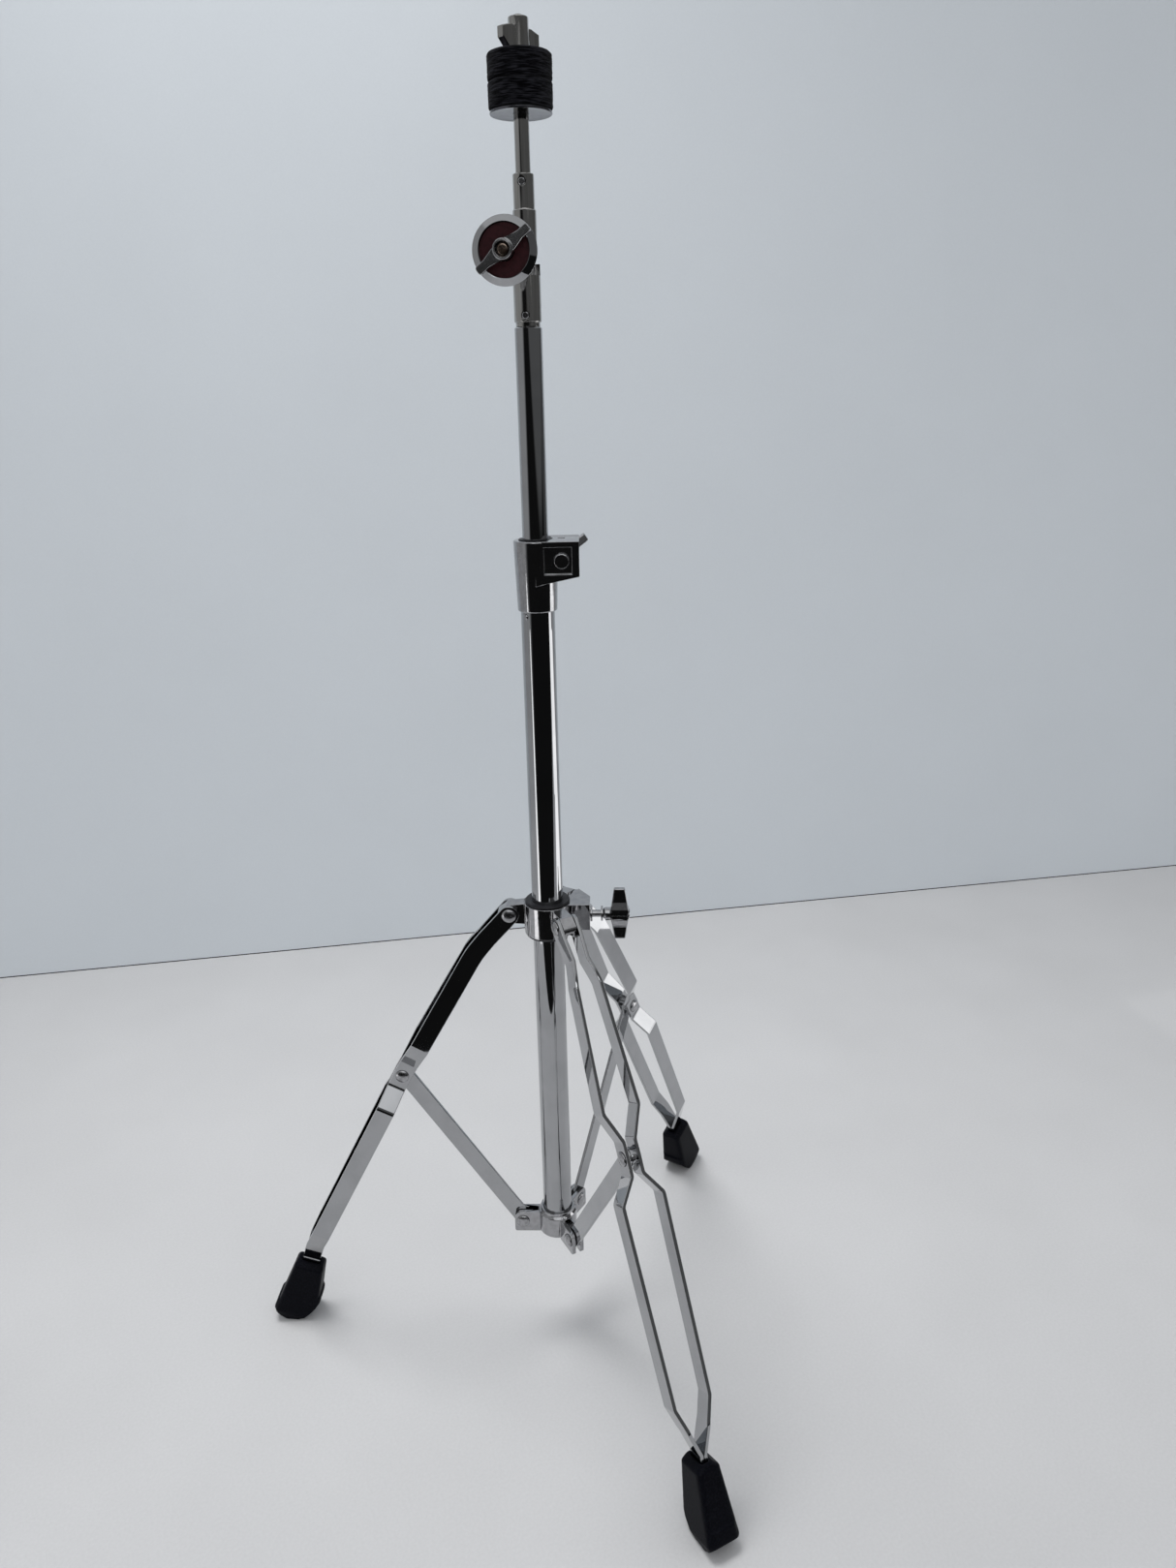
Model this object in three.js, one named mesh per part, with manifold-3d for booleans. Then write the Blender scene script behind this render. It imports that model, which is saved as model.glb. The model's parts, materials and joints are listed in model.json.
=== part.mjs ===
// Straight cymbal stand: a tripod of joggled double straps that folds on a sliding collar, a base tube with a
// cast height clamp, an upper tube, a toothless tilter with a dished cap, and a rod with two felts.
// Millimetres, +Z up. The floor is z = 0 and the first leg points along -Y.

import * as THREE from "three";
import { mergeVertices } from "three/addons/utils/BufferGeometryUtils.js";
import Module from "manifold-3d";

const wasm = await Module();
wasm.setup();

// Counts and angles

const LEG_COUNT = 3;
const TURN = 2 * Math.PI;
const ROUND_STEPS = 28;
const SMALL_STEPS = 14;
const BEND_STEPS = 3;
const radians = THREE.MathUtils.degToRad;

// Clearances

const seatGap = 0.3;
const rivetGap = 0.12;
const cutOverrun = 5;

// Linkage, as distances from the tube's axis and heights above the floor

const linkage = {
  pivotReach: 31.4,
  collarPivotHeight: 419,
  footPivotHeight: 110,
  bracePivotReach: 130.8,
};
linkage.bracePivotHeight = (linkage.collarPivotHeight + linkage.footPivotHeight) / 2;

// Lower collar, with its heights counted from the pivots that it carries

const lowerCollar = {
  radius: 17.2,
  belowPivot: 11,
  abovePivot: 12.3,
  lipRadius: 15.2,
  lipHeight: 2.2,
  earReach: 39,
  earAbovePivot: 9.5,
  earCorner: 6,
  earWall: 3.6,
  forkGap: 0.6,
};
lowerCollar.bottom = linkage.footPivotHeight - lowerCollar.belowPivot;
lowerCollar.top = linkage.footPivotHeight + lowerCollar.abovePivot;
lowerCollar.earTop = linkage.footPivotHeight + lowerCollar.earAbovePivot;

// Base tube, standing in the lower collar

const baseTube = {
  radius: 12.7,
  wall: 1.5,
  seat: 3,
  length: 602,
};
baseTube.bottom = lowerCollar.bottom + baseTube.seat;
baseTube.top = baseTube.bottom + baseTube.length;

// Upper tube, drawn out of the base tube as far as the photographed stand

const upperTube = {
  radius: 9.5,
  wall: 1.2,
  length: 480,
  drawnOut: 160,
  shoulder: 1.2,
};
upperTube.top = baseTube.top + upperTube.drawnOut;
upperTube.bottom = upperTube.top - upperTube.length;

// Leg centre line, in the plane of a leg

const legLine = {
  kneeRun: 30.6,
  kneeDrop: 34.8,
  kneeRadius: 70,
  ankleInset: 8.2,
  ankleRise: 24.6,
  ankleRadius: 30,
  socketReach: 232.8,
  socketHeight: 58.9,
};
legLine.kneeReach = linkage.pivotReach + legLine.kneeRun;
legLine.kneeHeight = linkage.collarPivotHeight - legLine.kneeDrop;
legLine.ankleReach = legLine.socketReach - legLine.ankleInset;
legLine.ankleHeight = legLine.socketHeight + legLine.ankleRise;

const strap = {
  width: 16,
  thickness: 3,
  socketDepth: 30,
  bendRadius: 14,
};

// Forked lugs of the leg collar

const lug = {
  halfWidth: 5.7,
  wall: 2.6,
  reach: 41,
  height: 18.5,
  noseDrop: 8,
  noseLength: 8,
  webThickness: 4,
  rootSlope: 1.5,
};

// Half the spread of a pair of straps, and how far from the nearest pivot or socket each one is reached

const spread = {
  pivot: lug.halfWidth + seatGap + strap.thickness / 2,
  neck: 6.2,
  neckAfterPivot: 30,
  shoulder: 10.5,
  shoulderAfterPivot: 50,
  upperBow: 15.5,
  upperBowBeforeBrace: 37,
  braceSeat: 5,
  seatBeforeBrace: 13,
  seatAfterBrace: 13,
  lowerBow: 18,
  lowerBowAfterBrace: 32,
  lowerBowEnd: 15.5,
  lowerBowBeforeSocket: 45,
  socket: (strap.thickness + seatGap) / 2,
  closeBeforeSocket: 6,
};

// Rivets

const rivet = {
  radius: 3,
  headRadius: 6,
  headHeight: 2.2,
};
const spacerRadius = 6.8;

// Braces

const brace = {
  width: 15,
  thickness: 3,
};

// Rubber boots: sections from the ridge at the top down to the sole, square to the boot's own axis

const boot = {
  height: 63.5,
  topHalfDepth: 13.5,
  soleHalfDepth: 19.5,
  ridgeHalfWidth: 5.2,
  shoulderHalfWidth: 10.2,
  soleHalfWidth: 14.2,
  shoulderDrop: 4,
  soleEdge: 7,
  soleInset: 3.5,
  cornerRadius: 4,
  treadProud: 1.4,
  treadTop: 23,
};

// The rounded sole from its inner end to its outer one: places outwards from its middle and heights, as shares
// of half its depth
const soleCurveShares = [
  [-1.38, 0.92],
  [-1.13, 0.64],
  [-0.87, 0.39],
  [-0.56, 0.14],
  [-0.26, 0],
  [0.36, 0],
  [0.64, 0.27],
  [0.93, 0.67],
  [1.13, 1.03],
];

// Plug in the foot of the base tube

const endPlug = {
  length: 9,
  flange: 2.2,
};

// Sliding leg collar, with its heights counted from the pivots that it carries

const legCollar = {
  radius: 19.4,
  boreRadius: 15.6,
  belowPivot: 17.4,
  abovePivot: 9.4,
};
legCollar.bottom = linkage.collarPivotHeight - legCollar.belowPivot;
legCollar.top = linkage.collarPivotHeight + legCollar.abovePivot;

const collarBush = {
  flangeRadius: 18.4,
  flange: 2.1,
  skirt: 5.5,
};

const screwBlock = {
  azimuth: radians(60),
  reach: 34.8,
  halfWidth: 8.4,
  belowPivot: 13.4,
  webThickness: 2,
  webReach: 33,
};
screwBlock.bottom = linkage.collarPivotHeight - screwBlock.belowPivot;

const wingScrew = {
  belowPivot: 2.1,
  radius: 3,
  padLength: 5,
  padRadius: 4.6,
  jamRadius: 6.6,
  jamThickness: 1.6,
  shankProud: 10.5,
  washerRadius: 6.1,
  washerThickness: 1.6,
};
wingScrew.height = linkage.collarPivotHeight - wingScrew.belowPivot;

const wingHandle = {
  hubRadius: 5,
  hubLength: 21.5,
  wingSpan: 45,
  wingRoot: 15.6,
  wingTip: 9,
  wingThickness: 6.4,
  wingSet: 5.6,
  edge: 1.2,
};

// Height clamp

const clamp = {
  azimuth: radians(62),
  belowTube: 36,
  aboveTube: 16,
  topRadius: 16.4,
  bottomRadius: 14.8,
  edge: 0.7,
  blockReach: 32,
  blockFront: 15.6,
  blockBack: 13,
  blockRise: 1.6,
  blockEndHeight: 25.5,
  blockRootHeight: 32,
  recessWidth: 20,
  recessHeight: 19.6,
  recessDepth: 4,
  recessSide: 5.6,
  recessTop: 4.2,
  slit: 1.8,
  slitBack: 7.5,
  slotLength: 5,
  slotWidth: 4,
  slotDepth: 3,
};
clamp.bottom = baseTube.top - clamp.belowTube;
clamp.top = baseTube.top + clamp.aboveTube;

const clampBush = {
  radius: 12.3,
  length: 15,
  proud: 0.8,
  slit: 1.6,
};

const clampBolt = {
  radius: 3,
  headRadius: 6.1,
  headThickness: 3,
  headEdge: 1,
  reach: 19,
  drop: 14.3,
  wingTurn: radians(55),
};

const stopRivet = {
  azimuth: radians(-70),
  below: 3.4,
  radius: 1.4,
  headRadius: 2.2,
  headHeight: 0.9,
};

// Tilter, with its heights counted from the upper tube or from its own pivot

const tilter = {
  azimuth: radians(-33.6),
  pivotAboveTube: 45.7,
  pivotOffset: 10.2,
  baseRadius: 9.4,
  baseAboveTube: 3,
  grooveRadius: 8.4,
  plugLength: 26,
  knuckleRadius: 13,
  neckRise: 6,
  headRadius: 7.9,
  headAbovePivot: 26.7,
  stemRadius: 7.1,
  stemAbovePivot: 48.5,
  edge: 0.8,
  boltRadius: 3.9,
  boltHeadRadius: 6.5,
  boltHeadThickness: 3,
};
tilter.pivotHeight = upperTube.top + tilter.pivotAboveTube;
tilter.baseBottom = upperTube.top + tilter.baseAboveTube;
tilter.headTop = tilter.pivotHeight + tilter.headAbovePivot;
tilter.stemTop = tilter.pivotHeight + tilter.stemAbovePivot;

const cap = {
  radius: 21.7,
  back: 11.7,
  backRadius: 10.5,
  rimBack: 25,
  rimSideRadius: 21,
  front: 30,
  recessRadius: 17,
  recessDepth: 3.2,
  lipBevel: 0.8,
  washerThickness: 1.4,
  washerRadius: 9.6,
};

const inlay = {
  thickness: 1.2,
};

const wing = {
  hubRadius: 6.4,
  hubInner: 4.9,
  thickness: 5,
  hubProud: 2,
  reach: 21.8,
  tipWidth: 5.6,
  rootWidth: 9,
  bow: 1.2,
  azimuth: radians(34),
};

const setScrew = {
  radius: 2.4,
  depth: 2,
  proud: 0.5,
  azimuth: radians(-36),
  aboveBase: 4.3,
  belowStem: 5.2,
};
setScrew.baseHeight = tilter.baseBottom + setScrew.aboveBase;
setScrew.stemHeight = tilter.stemTop - setScrew.belowStem;

// Cup washer, felts, sleeve, wing nut and rod, stacked upwards from the tilter's stem

const cup = {
  radius: 20.5,
  thickness: 1.6,
  dish: 1.2,
  dishRadius: 13,
  aboveStem: 34.2,
};
cup.bottom = tilter.stemTop + cup.aboveStem;

const felt = {
  radius: 21.3,
  thickness: 15.8,
  boreGap: 0.3,
  edge: 1.2,
};
felt.bottom = cup.bottom + cup.dish / 2 + cup.thickness + seatGap;
felt.upperBottom = felt.bottom + felt.thickness + seatGap;
felt.top = felt.upperBottom + felt.thickness;

const sleeve = {
  radius: 5.6,
  belowFelt: 4.8,
};
sleeve.top = felt.top - sleeve.belowFelt;

const nut = {
  hubRadius: 7.6,
  hubTopRadius: 6.6,
  hubHeight: 19.7,
  wingReach: 16.5,
  wingTop: 14.4,
  wingShoulder: 9.5,
  wingFoot: 10.5,
  tipTop: 12.4,
  tipBottom: 6.2,
  footRise: 0.8,
  wingThickness: 5.6,
  azimuth: radians(-70),
};
nut.bottom = felt.top + seatGap;

const rod = {
  radius: 5.1,
  socketDepth: 14,
  threadRadius: 3.9,
  threadAboveCup: 3.6,
  aboveNut: 1.2,
  topBevel: 1,
};
rod.threadStart = cup.bottom + rod.threadAboveCup;
rod.top = nut.bottom + nut.hubHeight + rod.aboveNut;

// Finishes

const finish = {
  chrome: new THREE.MeshStandardMaterial({ color: 0xd6d9dc, metalness: 1, roughness: 0.08 }),
  darkSteel: new THREE.MeshStandardMaterial({ color: 0x8b8e92, metalness: 1, roughness: 0.3 }),
  nylon: new THREE.MeshStandardMaterial({ color: 0x0d0d0f, metalness: 0, roughness: 0.45 }),
  rubber: new THREE.MeshStandardMaterial({ color: 0x0f1013, metalness: 0, roughness: 0.7 }),
  felt: new THREE.MeshStandardMaterial({ color: 0x1b1c20, metalness: 0, roughness: 1 }),
  burgundy: new THREE.MeshStandardMaterial({ color: 0x3c1c20, metalness: 0.2, roughness: 0.4 }),
};

// Solids

function toSolid(geometry) {
  const bare = geometry.index ? geometry.toNonIndexed() : geometry.clone();
  const position = new THREE.BufferGeometry().setAttribute("position", bare.getAttribute("position"));
  const merged = mergeVertices(position, 1e-4);
  const vertProperties = new Float32Array(merged.attributes.position.array);
  const triVerts = new Uint32Array(merged.index.array);
  return new wasm.Manifold(new wasm.Mesh({ numProp: 3, vertProperties, triVerts }));
}

function toGeometry(solid) {
  const mesh = solid.getMesh();
  const positions = new Float32Array(mesh.numVert * 3);
  for (let i = 0; i < mesh.numVert; i++) {
    positions.set(mesh.vertProperties.subarray(i * mesh.numProp, i * mesh.numProp + 3), i * 3);
  }
  const geometry = new THREE.BufferGeometry();
  geometry.setAttribute("position", new THREE.BufferAttribute(positions, 3));
  geometry.setIndex(new THREE.BufferAttribute(new Uint32Array(mesh.triVerts), 1));
  return geometry;
}

function combine(joined, cuts = []) {
  let solid = toSolid(joined[0]);
  for (const more of joined.slice(1)) solid = solid.add(toSolid(more));
  for (const cut of cuts) solid = solid.subtract(toSolid(cut));
  return toGeometry(solid);
}

// A solid of revolution about Z, from points of radius and height.
function turned(points, steps = ROUND_STEPS) {
  const profile = points.map(([radius, height]) => new THREE.Vector2(radius, height));
  return new THREE.LatheGeometry(profile, steps).rotateX(Math.PI / 2);
}

// A round bar about Z with bevelled ends.
function bar(radius, bottom, top, bevel = 0, steps = ROUND_STEPS) {
  const points = [[0, bottom], [radius - bevel, bottom]];
  if (bevel) points.push([radius, bottom + bevel], [radius, top - bevel]);
  points.push([radius - bevel, top], [0, top]);
  return turned(points, steps);
}

// A straight tube about Z.
function pipe(outer, inner, bottom, top, steps = ROUND_STEPS) {
  return turned([[inner, bottom], [outer, bottom], [outer, top], [inner, top], [inner, bottom]], steps);
}

function block(width, depth, height, x, y, z) {
  return new THREE.BoxGeometry(width, depth, height).translate(x, y, z);
}

// A closed solid through rings of equally many points, each ring convex and counted the same way.
function loft(rings) {
  const positions = [];
  const triangle = (a, b, c) => positions.push(...a.toArray(), ...b.toArray(), ...c.toArray());
  const count = rings[0].length;
  rings.slice(1).forEach((ring, i) => {
    const before = rings[i];
    for (let j = 0; j < count; j++) {
      const next = (j + 1) % count;
      triangle(before[j], before[next], ring[next]);
      triangle(before[j], ring[next], ring[j]);
    }
  });
  const first = rings[0];
  const last = rings[rings.length - 1];
  for (let j = 1; j < count - 1; j++) {
    triangle(first[0], first[j + 1], first[j]);
    triangle(last[0], last[j], last[j + 1]);
  }
  const geometry = new THREE.BufferGeometry();
  geometry.setAttribute("position", new THREE.Float32BufferAttribute(facingOut(positions), 3));
  return geometry;
}

// The same triangles, wound so that they enclose a positive volume.
function facingOut(positions) {
  const corner = (i) => new THREE.Vector3().fromArray(positions, i * 3);
  let volume = 0;
  for (let i = 0; i < positions.length / 3; i += 3) {
    volume += corner(i).dot(corner(i + 1).cross(corner(i + 2)));
  }
  if (volume > 0) return positions;
  const turnedRound = [];
  for (let i = positions.length - 3; i >= 0; i -= 3) turnedRound.push(...positions.slice(i, i + 3));
  return turnedRound;
}

// An outline with its corners rounded, as points. A corner's radius is limited by its two sides.
function rounded(corners, radius, closed = true) {
  const points = [];
  corners.forEach((corner, i) => {
    const isEnd = !closed && (i === 0 || i === corners.length - 1);
    const size = Array.isArray(radius) ? radius[i] : radius;
    if (isEnd || size === 0) {
      points.push(corner.clone());
      return;
    }
    const before = corners[(i + corners.length - 1) % corners.length];
    const after = corners[(i + 1) % corners.length];
    const inward = before.clone().sub(corner);
    const outward = after.clone().sub(corner);
    const bend = Math.PI - inward.angleTo(outward);
    const limit = Math.min(inward.length(), outward.length()) / 2;
    const cut = Math.min(size * Math.tan(bend / 2), limit);
    const start = corner.clone().add(inward.setLength(cut));
    const end = corner.clone().add(outward.setLength(cut));
    points.push(...new THREE.QuadraticBezierCurve(start, corner, end).getPoints(BEND_STEPS));
  });
  return points;
}

// A flat plate of an outline, centred on its own thickness.
function plate(points, thickness, holes = []) {
  const shape = new THREE.Shape(points);
  for (const hole of holes) shape.holes.push(hole);
  const settings = { depth: thickness, bevelEnabled: false, curveSegments: SMALL_STEPS };
  return new THREE.ExtrudeGeometry(shape, settings).translate(0, 0, -thickness / 2);
}

function roundHole(x, y, radius) {
  return new THREE.Path().absarc(x, y, radius, 0, TURN, true);
}

// Frames: a leg's plane, where a plate's x runs outwards, its y upwards and its thickness sideways

const legPlane = new THREE.Matrix4().makeBasis(
  new THREE.Vector3(0, -1, 0),
  new THREE.Vector3(0, 0, 1),
  new THREE.Vector3(-1, 0, 0),
);

function inLegPlane(geometry) {
  return geometry.applyMatrix4(legPlane);
}

// A bar about Z is laid across a leg's plane, or outwards in it, at a reach and a height.
function across(geometry, reach, height) {
  return geometry.rotateY(Math.PI / 2).translate(0, -reach, height);
}

function outwards(geometry, height) {
  return geometry.rotateX(Math.PI / 2).translate(0, 0, height);
}

function turnedTo(geometry, azimuth) {
  return geometry.rotateZ(azimuth);
}

function legAzimuth(index) {
  return (index * TURN) / LEG_COUNT;
}

function eachLeg(make) {
  return Array.from({ length: LEG_COUNT }, (_, index) => make(legAzimuth(index), index));
}

// The model is built about the tube's axis, and each piece is one named mesh.

const stand = new THREE.Group();
const model = new THREE.Group();
stand.add(model);

function addPiece(name, geometry, material, parent = model) {
  const mesh = new THREE.Mesh(geometry, material);
  mesh.name = name;
  geometry.computeVertexNormals();
  parent.add(mesh);
  return mesh;
}

// Legs

const at = (x, y) => new THREE.Vector2(x, y);
const collarPivot = at(linkage.pivotReach, linkage.collarPivotHeight);
const bracePivot = at(linkage.bracePivotReach, linkage.bracePivotHeight);
const footPivot = at(linkage.pivotReach, linkage.footPivotHeight);
const socket = at(legLine.socketReach, legLine.socketHeight);
const ankle = at(legLine.ankleReach, legLine.ankleHeight);
const bootDown = socket.clone().sub(ankle).normalize();

// The centre line starts a strap's half width past the pivot and ends in the boot.
function makeSpine() {
  const knee = at(legLine.kneeReach, legLine.kneeHeight);
  const start = collarPivot.clone().sub(knee).setLength(strap.width / 2).add(collarPivot);
  const end = socket.clone().addScaledVector(bootDown, strap.socketDepth);
  const corners = [start, collarPivot, knee, bracePivot, ankle, end];
  const radii = [0, 0, legLine.kneeRadius, legLine.kneeRadius, legLine.ankleRadius, 0];
  const points = rounded(corners, radii, false);
  const lengths = [0];
  points.slice(1).forEach((point, i) => lengths.push(lengths[i] + point.distanceTo(points[i])));
  return { points, lengths };
}

const spine = makeSpine();

function spineAt(length) {
  const { points, lengths } = spine;
  let i = lengths.findIndex((value) => value >= length);
  if (i < 1) i = i < 0 ? points.length - 1 : 1;
  const share = (length - lengths[i - 1]) / (lengths[i] - lengths[i - 1]);
  const point = points[i - 1].clone().lerp(points[i], share);
  const direction = points[i].clone().sub(points[i - 1]).normalize();
  return { point, direction };
}

// How far along the centre line its nearest point to a place lies.
function alongSpine(place) {
  const steps = 600;
  const total = spine.lengths[spine.lengths.length - 1];
  let best = 0;
  for (let i = 0; i <= steps; i++) {
    const length = (total * i) / steps;
    const nearer = spineAt(length).point.distanceTo(place) < spineAt(best).point.distanceTo(place);
    if (nearer) best = length;
  }
  return best;
}

const pivotLength = strap.width / 2;
const braceLength = alongSpine(bracePivot);
const socketLength = alongSpine(socket);
const endLength = spine.lengths[spine.lengths.length - 1];

function spreadLine() {
  const corners = [
    at(0, spread.pivot),
    at(pivotLength + pivotLength, spread.pivot),
    at(pivotLength + spread.neckAfterPivot, spread.neck),
    at(pivotLength + spread.shoulderAfterPivot, spread.shoulder),
    at(braceLength - spread.upperBowBeforeBrace, spread.upperBow),
    at(braceLength - spread.seatBeforeBrace, spread.braceSeat),
    at(braceLength + spread.seatAfterBrace, spread.braceSeat),
    at(braceLength + spread.lowerBowAfterBrace, spread.lowerBow),
    at(socketLength - spread.lowerBowBeforeSocket, spread.lowerBowEnd),
    at(socketLength - spread.closeBeforeSocket, spread.socket),
    at(endLength, spread.socket),
  ];
  return rounded(corners, strap.bendRadius, false);
}

// Stations of a strap: the rounded end at the pivot, then every point where it bends sideways or in its plane
function strapStations() {
  const line = spreadLine();
  const half = strap.width / 2;
  const stations = line.filter((point) => point.x > half).map((point) => point.x);
  stations.push(...spine.lengths.filter((length) => length > half && length < endLength));
  for (let i = 0; i <= BEND_STEPS; i++) {
    const angle = (Math.PI / 2) * (i / BEND_STEPS) * endRoundShare;
    stations.push(half - half * Math.sin(angle));
  }
  stations.sort((a, b) => a - b);
  return stations.filter((value, i) => i === 0 || value - stations[i - 1] > seatGap);
}

const endRoundShare = 0.92;

function spreadAt(line, length) {
  const i = Math.max(1, line.findIndex((point) => point.x >= length));
  const share = (length - line[i - 1].x) / (line[i].x - line[i - 1].x);
  return THREE.MathUtils.lerp(line[i - 1].y, line[i].y, THREE.MathUtils.clamp(share, 0, 1));
}

// One strap: side is 1 or -1. Rings stay square to the strap's own run, so its thickness holds in the bends.
function strapGeometry(side) {
  const line = spreadLine();
  const half = strap.width / 2;
  const centres = strapStations().map((length) => {
    const { point, direction } = spineAt(length);
    const centre = new THREE.Vector3(side * spreadAt(line, length), -point.x, point.y);
    const up = new THREE.Vector3(0, direction.y, direction.x);
    const toEnd = half - length;
    const halfWidth = toEnd > 0 ? Math.sqrt(half * half - toEnd * toEnd) : half;
    return { centre, up, halfWidth };
  });
  const rings = centres.map(({ centre, up, halfWidth }, i) => {
    const back = centres[Math.max(i - 1, 0)].centre;
    const ahead = centres[Math.min(i + 1, centres.length - 1)].centre;
    const before = centre.clone().sub(back).normalize();
    const after = ahead.clone().sub(centre).normalize();
    const run = before.add(after).normalize();
    const out = new THREE.Vector3().crossVectors(up, run).normalize();
    const corner = (a, b) => centre
      .clone()
      .addScaledVector(up, a * halfWidth)
      .addScaledVector(out, (b * strap.thickness) / 2);
    return [corner(1, 1), corner(1, -1), corner(-1, -1), corner(-1, 1)];
  });
  const holes = [collarPivot, bracePivot].map((pivot) => {
    const reach = spread.lowerBow + cutOverrun;
    return across(bar(rivet.radius + rivetGap, -reach, reach, 0, SMALL_STEPS), pivot.x, pivot.y);
  });
  return combine([loft(rings)], holes);
}

// A rivet across the leg's plane with a domed head on each side
function rivetGeometry(halfGrip, pivot) {
  const { radius, headRadius, headHeight } = rivet;
  const face = halfGrip + seatGap / 2;
  const dome = [0, radians(35), radians(65), Math.PI / 2].map((angle) => [
    headRadius * Math.cos(angle),
    face + headHeight * Math.sin(angle),
  ]);
  const upper = [[radius, face], ...dome];
  const lower = upper.map(([r, z]) => [r, -z]).reverse();
  return across(turned([...lower, ...upper], SMALL_STEPS), pivot.x, pivot.y);
}

function roundedRectangle(halfDepth, halfWidth, radius) {
  const corner = (a, b) => at(a * halfWidth, b * halfDepth);
  const corners = [corner(1, 1), corner(-1, 1), corner(-1, -1), corner(1, -1)];
  const limit = Math.min(halfDepth, halfWidth) / 2;
  return rounded(corners, Math.min(radius, limit));
}

// A boot: a gabled top with the strap slot, four tapering walls, a tread band at front and back, a rounded sole
function bootGeometry() {
  const { height, shoulderDrop, soleEdge, soleInset } = boot;
  const axis = new THREE.Vector3(0, -bootDown.x, bootDown.y).negate();
  const sideways = new THREE.Vector3(1, 0, 0);
  const depthwise = new THREE.Vector3().crossVectors(axis, sideways);
  const soleCentre = socket.clone().addScaledVector(bootDown, socket.y / -bootDown.y);
  const foot = new THREE.Vector3(0, -soleCentre.x, 0);
  const section = (level, halfDepth, halfWidth) => roundedRectangle(halfDepth, halfWidth, boot.cornerRadius)
    .map((point) => foot
      .clone()
      .addScaledVector(axis, level)
      .addScaledVector(sideways, point.x)
      .addScaledVector(depthwise, point.y));
  const below = -soleEdge;
  const body = loft([
    section(below, boot.soleHalfDepth - soleInset, boot.soleHalfWidth - soleInset),
    section(soleEdge, boot.soleHalfDepth, boot.soleHalfWidth),
    section(height - shoulderDrop, boot.topHalfDepth, boot.shoulderHalfWidth),
    section(height, boot.topHalfDepth - soleInset / 2, boot.ridgeHalfWidth),
  ]);
  const treadWidth = boot.soleHalfWidth - boot.cornerRadius / 2;
  const treadLoft = loft([
    section(below, boot.soleHalfDepth - soleInset, treadWidth - soleInset),
    section(soleEdge, boot.soleHalfDepth + boot.treadProud, treadWidth),
    section(height, boot.topHalfDepth + boot.treadProud, treadWidth - boot.treadProud),
  ]);
  const aboveTread = block(height * 2, height * 2, height, 0, -soleCentre.x, boot.treadTop + height / 2);
  const tread = combine([treadLoft], [aboveTread]);
  const depth = boot.soleHalfDepth;
  const sole = soleCurveShares.map(([along, rise]) => at(soleCentre.x + along * depth, rise * depth));
  const under = [at(soleCentre.x + height, -height), at(soleCentre.x - height, -height)];
  const floor = inLegPlane(plate([...sole, ...under], height));
  const slotHalf = spread.socket + strap.thickness / 2 + seatGap;
  const slotDepth = strap.socketDepth + seatGap;
  const slotCorner = (along, a) => {
    const point = socket.clone().addScaledVector(bootDown, along);
    const normal = at(bootDown.y, -bootDown.x).multiplyScalar(a * (strap.width / 2 + seatGap));
    return point.add(normal);
  };
  const slot = [slotCorner(-height, 1), slotCorner(-height, -1), slotCorner(slotDepth, -1), slotCorner(slotDepth, 1)];
  return combine([body, tread], [floor, inLegPlane(plate(slot, slotHalf * 2))]);
}

function braceGeometry() {
  const run = footPivot.clone().sub(bracePivot);
  const angle = run.angle();
  const half = brace.width / 2;
  const outline = new THREE.Path()
    .absarc(0, 0, half, Math.PI / 2, (3 * Math.PI) / 2, false)
    .absarc(run.length(), 0, half, -Math.PI / 2, Math.PI / 2, false);
  const points = outline.getPoints(SMALL_STEPS / 2);
  const holes = [roundHole(0, 0, rivet.radius + rivetGap), roundHole(run.length(), 0, rivet.radius + rivetGap)];
  const flat = plate(points, brace.thickness, holes).rotateZ(angle).translate(bracePivot.x, bracePivot.y, 0);
  return inLegPlane(flat);
}

function spacerGeometry(side) {
  const inner = brace.thickness / 2 + seatGap / 2;
  const outer = spread.braceSeat - strap.thickness / 2 - seatGap / 2;
  const ring = pipe(spacerRadius, rivet.radius + rivetGap, inner, outer, SMALL_STEPS);
  const turn = side > 0 ? Math.PI / 2 : -Math.PI / 2;
  return ring.rotateY(turn).translate(0, -bracePivot.x, bracePivot.y);
}

function makeLegs() {
  eachLeg((azimuth, index) => {
    const number = index + 1;
    const leg = new THREE.Group();
    leg.rotation.z = azimuth;
    model.add(leg);
    addPiece(`leg_${number}_strap_left`, strapGeometry(-1), finish.chrome, leg);
    addPiece(`leg_${number}_strap_right`, strapGeometry(1), finish.chrome, leg);
    addPiece(`leg_${number}_boot`, bootGeometry(), finish.rubber, leg);
    const strapFace = spread.braceSeat + strap.thickness / 2;
    addPiece(`leg_${number}_brace_rivet`, rivetGeometry(strapFace, bracePivot), finish.darkSteel, leg);
    addPiece(`leg_${number}_spacer_left`, spacerGeometry(-1), finish.chrome, leg);
    addPiece(`leg_${number}_spacer_right`, spacerGeometry(1), finish.chrome, leg);
    addPiece(`brace_${number}`, braceGeometry(), finish.chrome, leg);
    const collarFace = spread.pivot + strap.thickness / 2;
    addPiece(`leg_rivet_${number}`, rivetGeometry(collarFace, collarPivot), finish.darkSteel, leg);
    addPiece(`foot_rivet_${number}`, rivetGeometry(earHalfWidth, footPivot), finish.darkSteel, leg);
  });
}

// Lower collar: a ring with three forked ears and a lip round the tube

const earHalfWidth = brace.thickness / 2 + lowerCollar.forkGap + lowerCollar.earWall;

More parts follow.
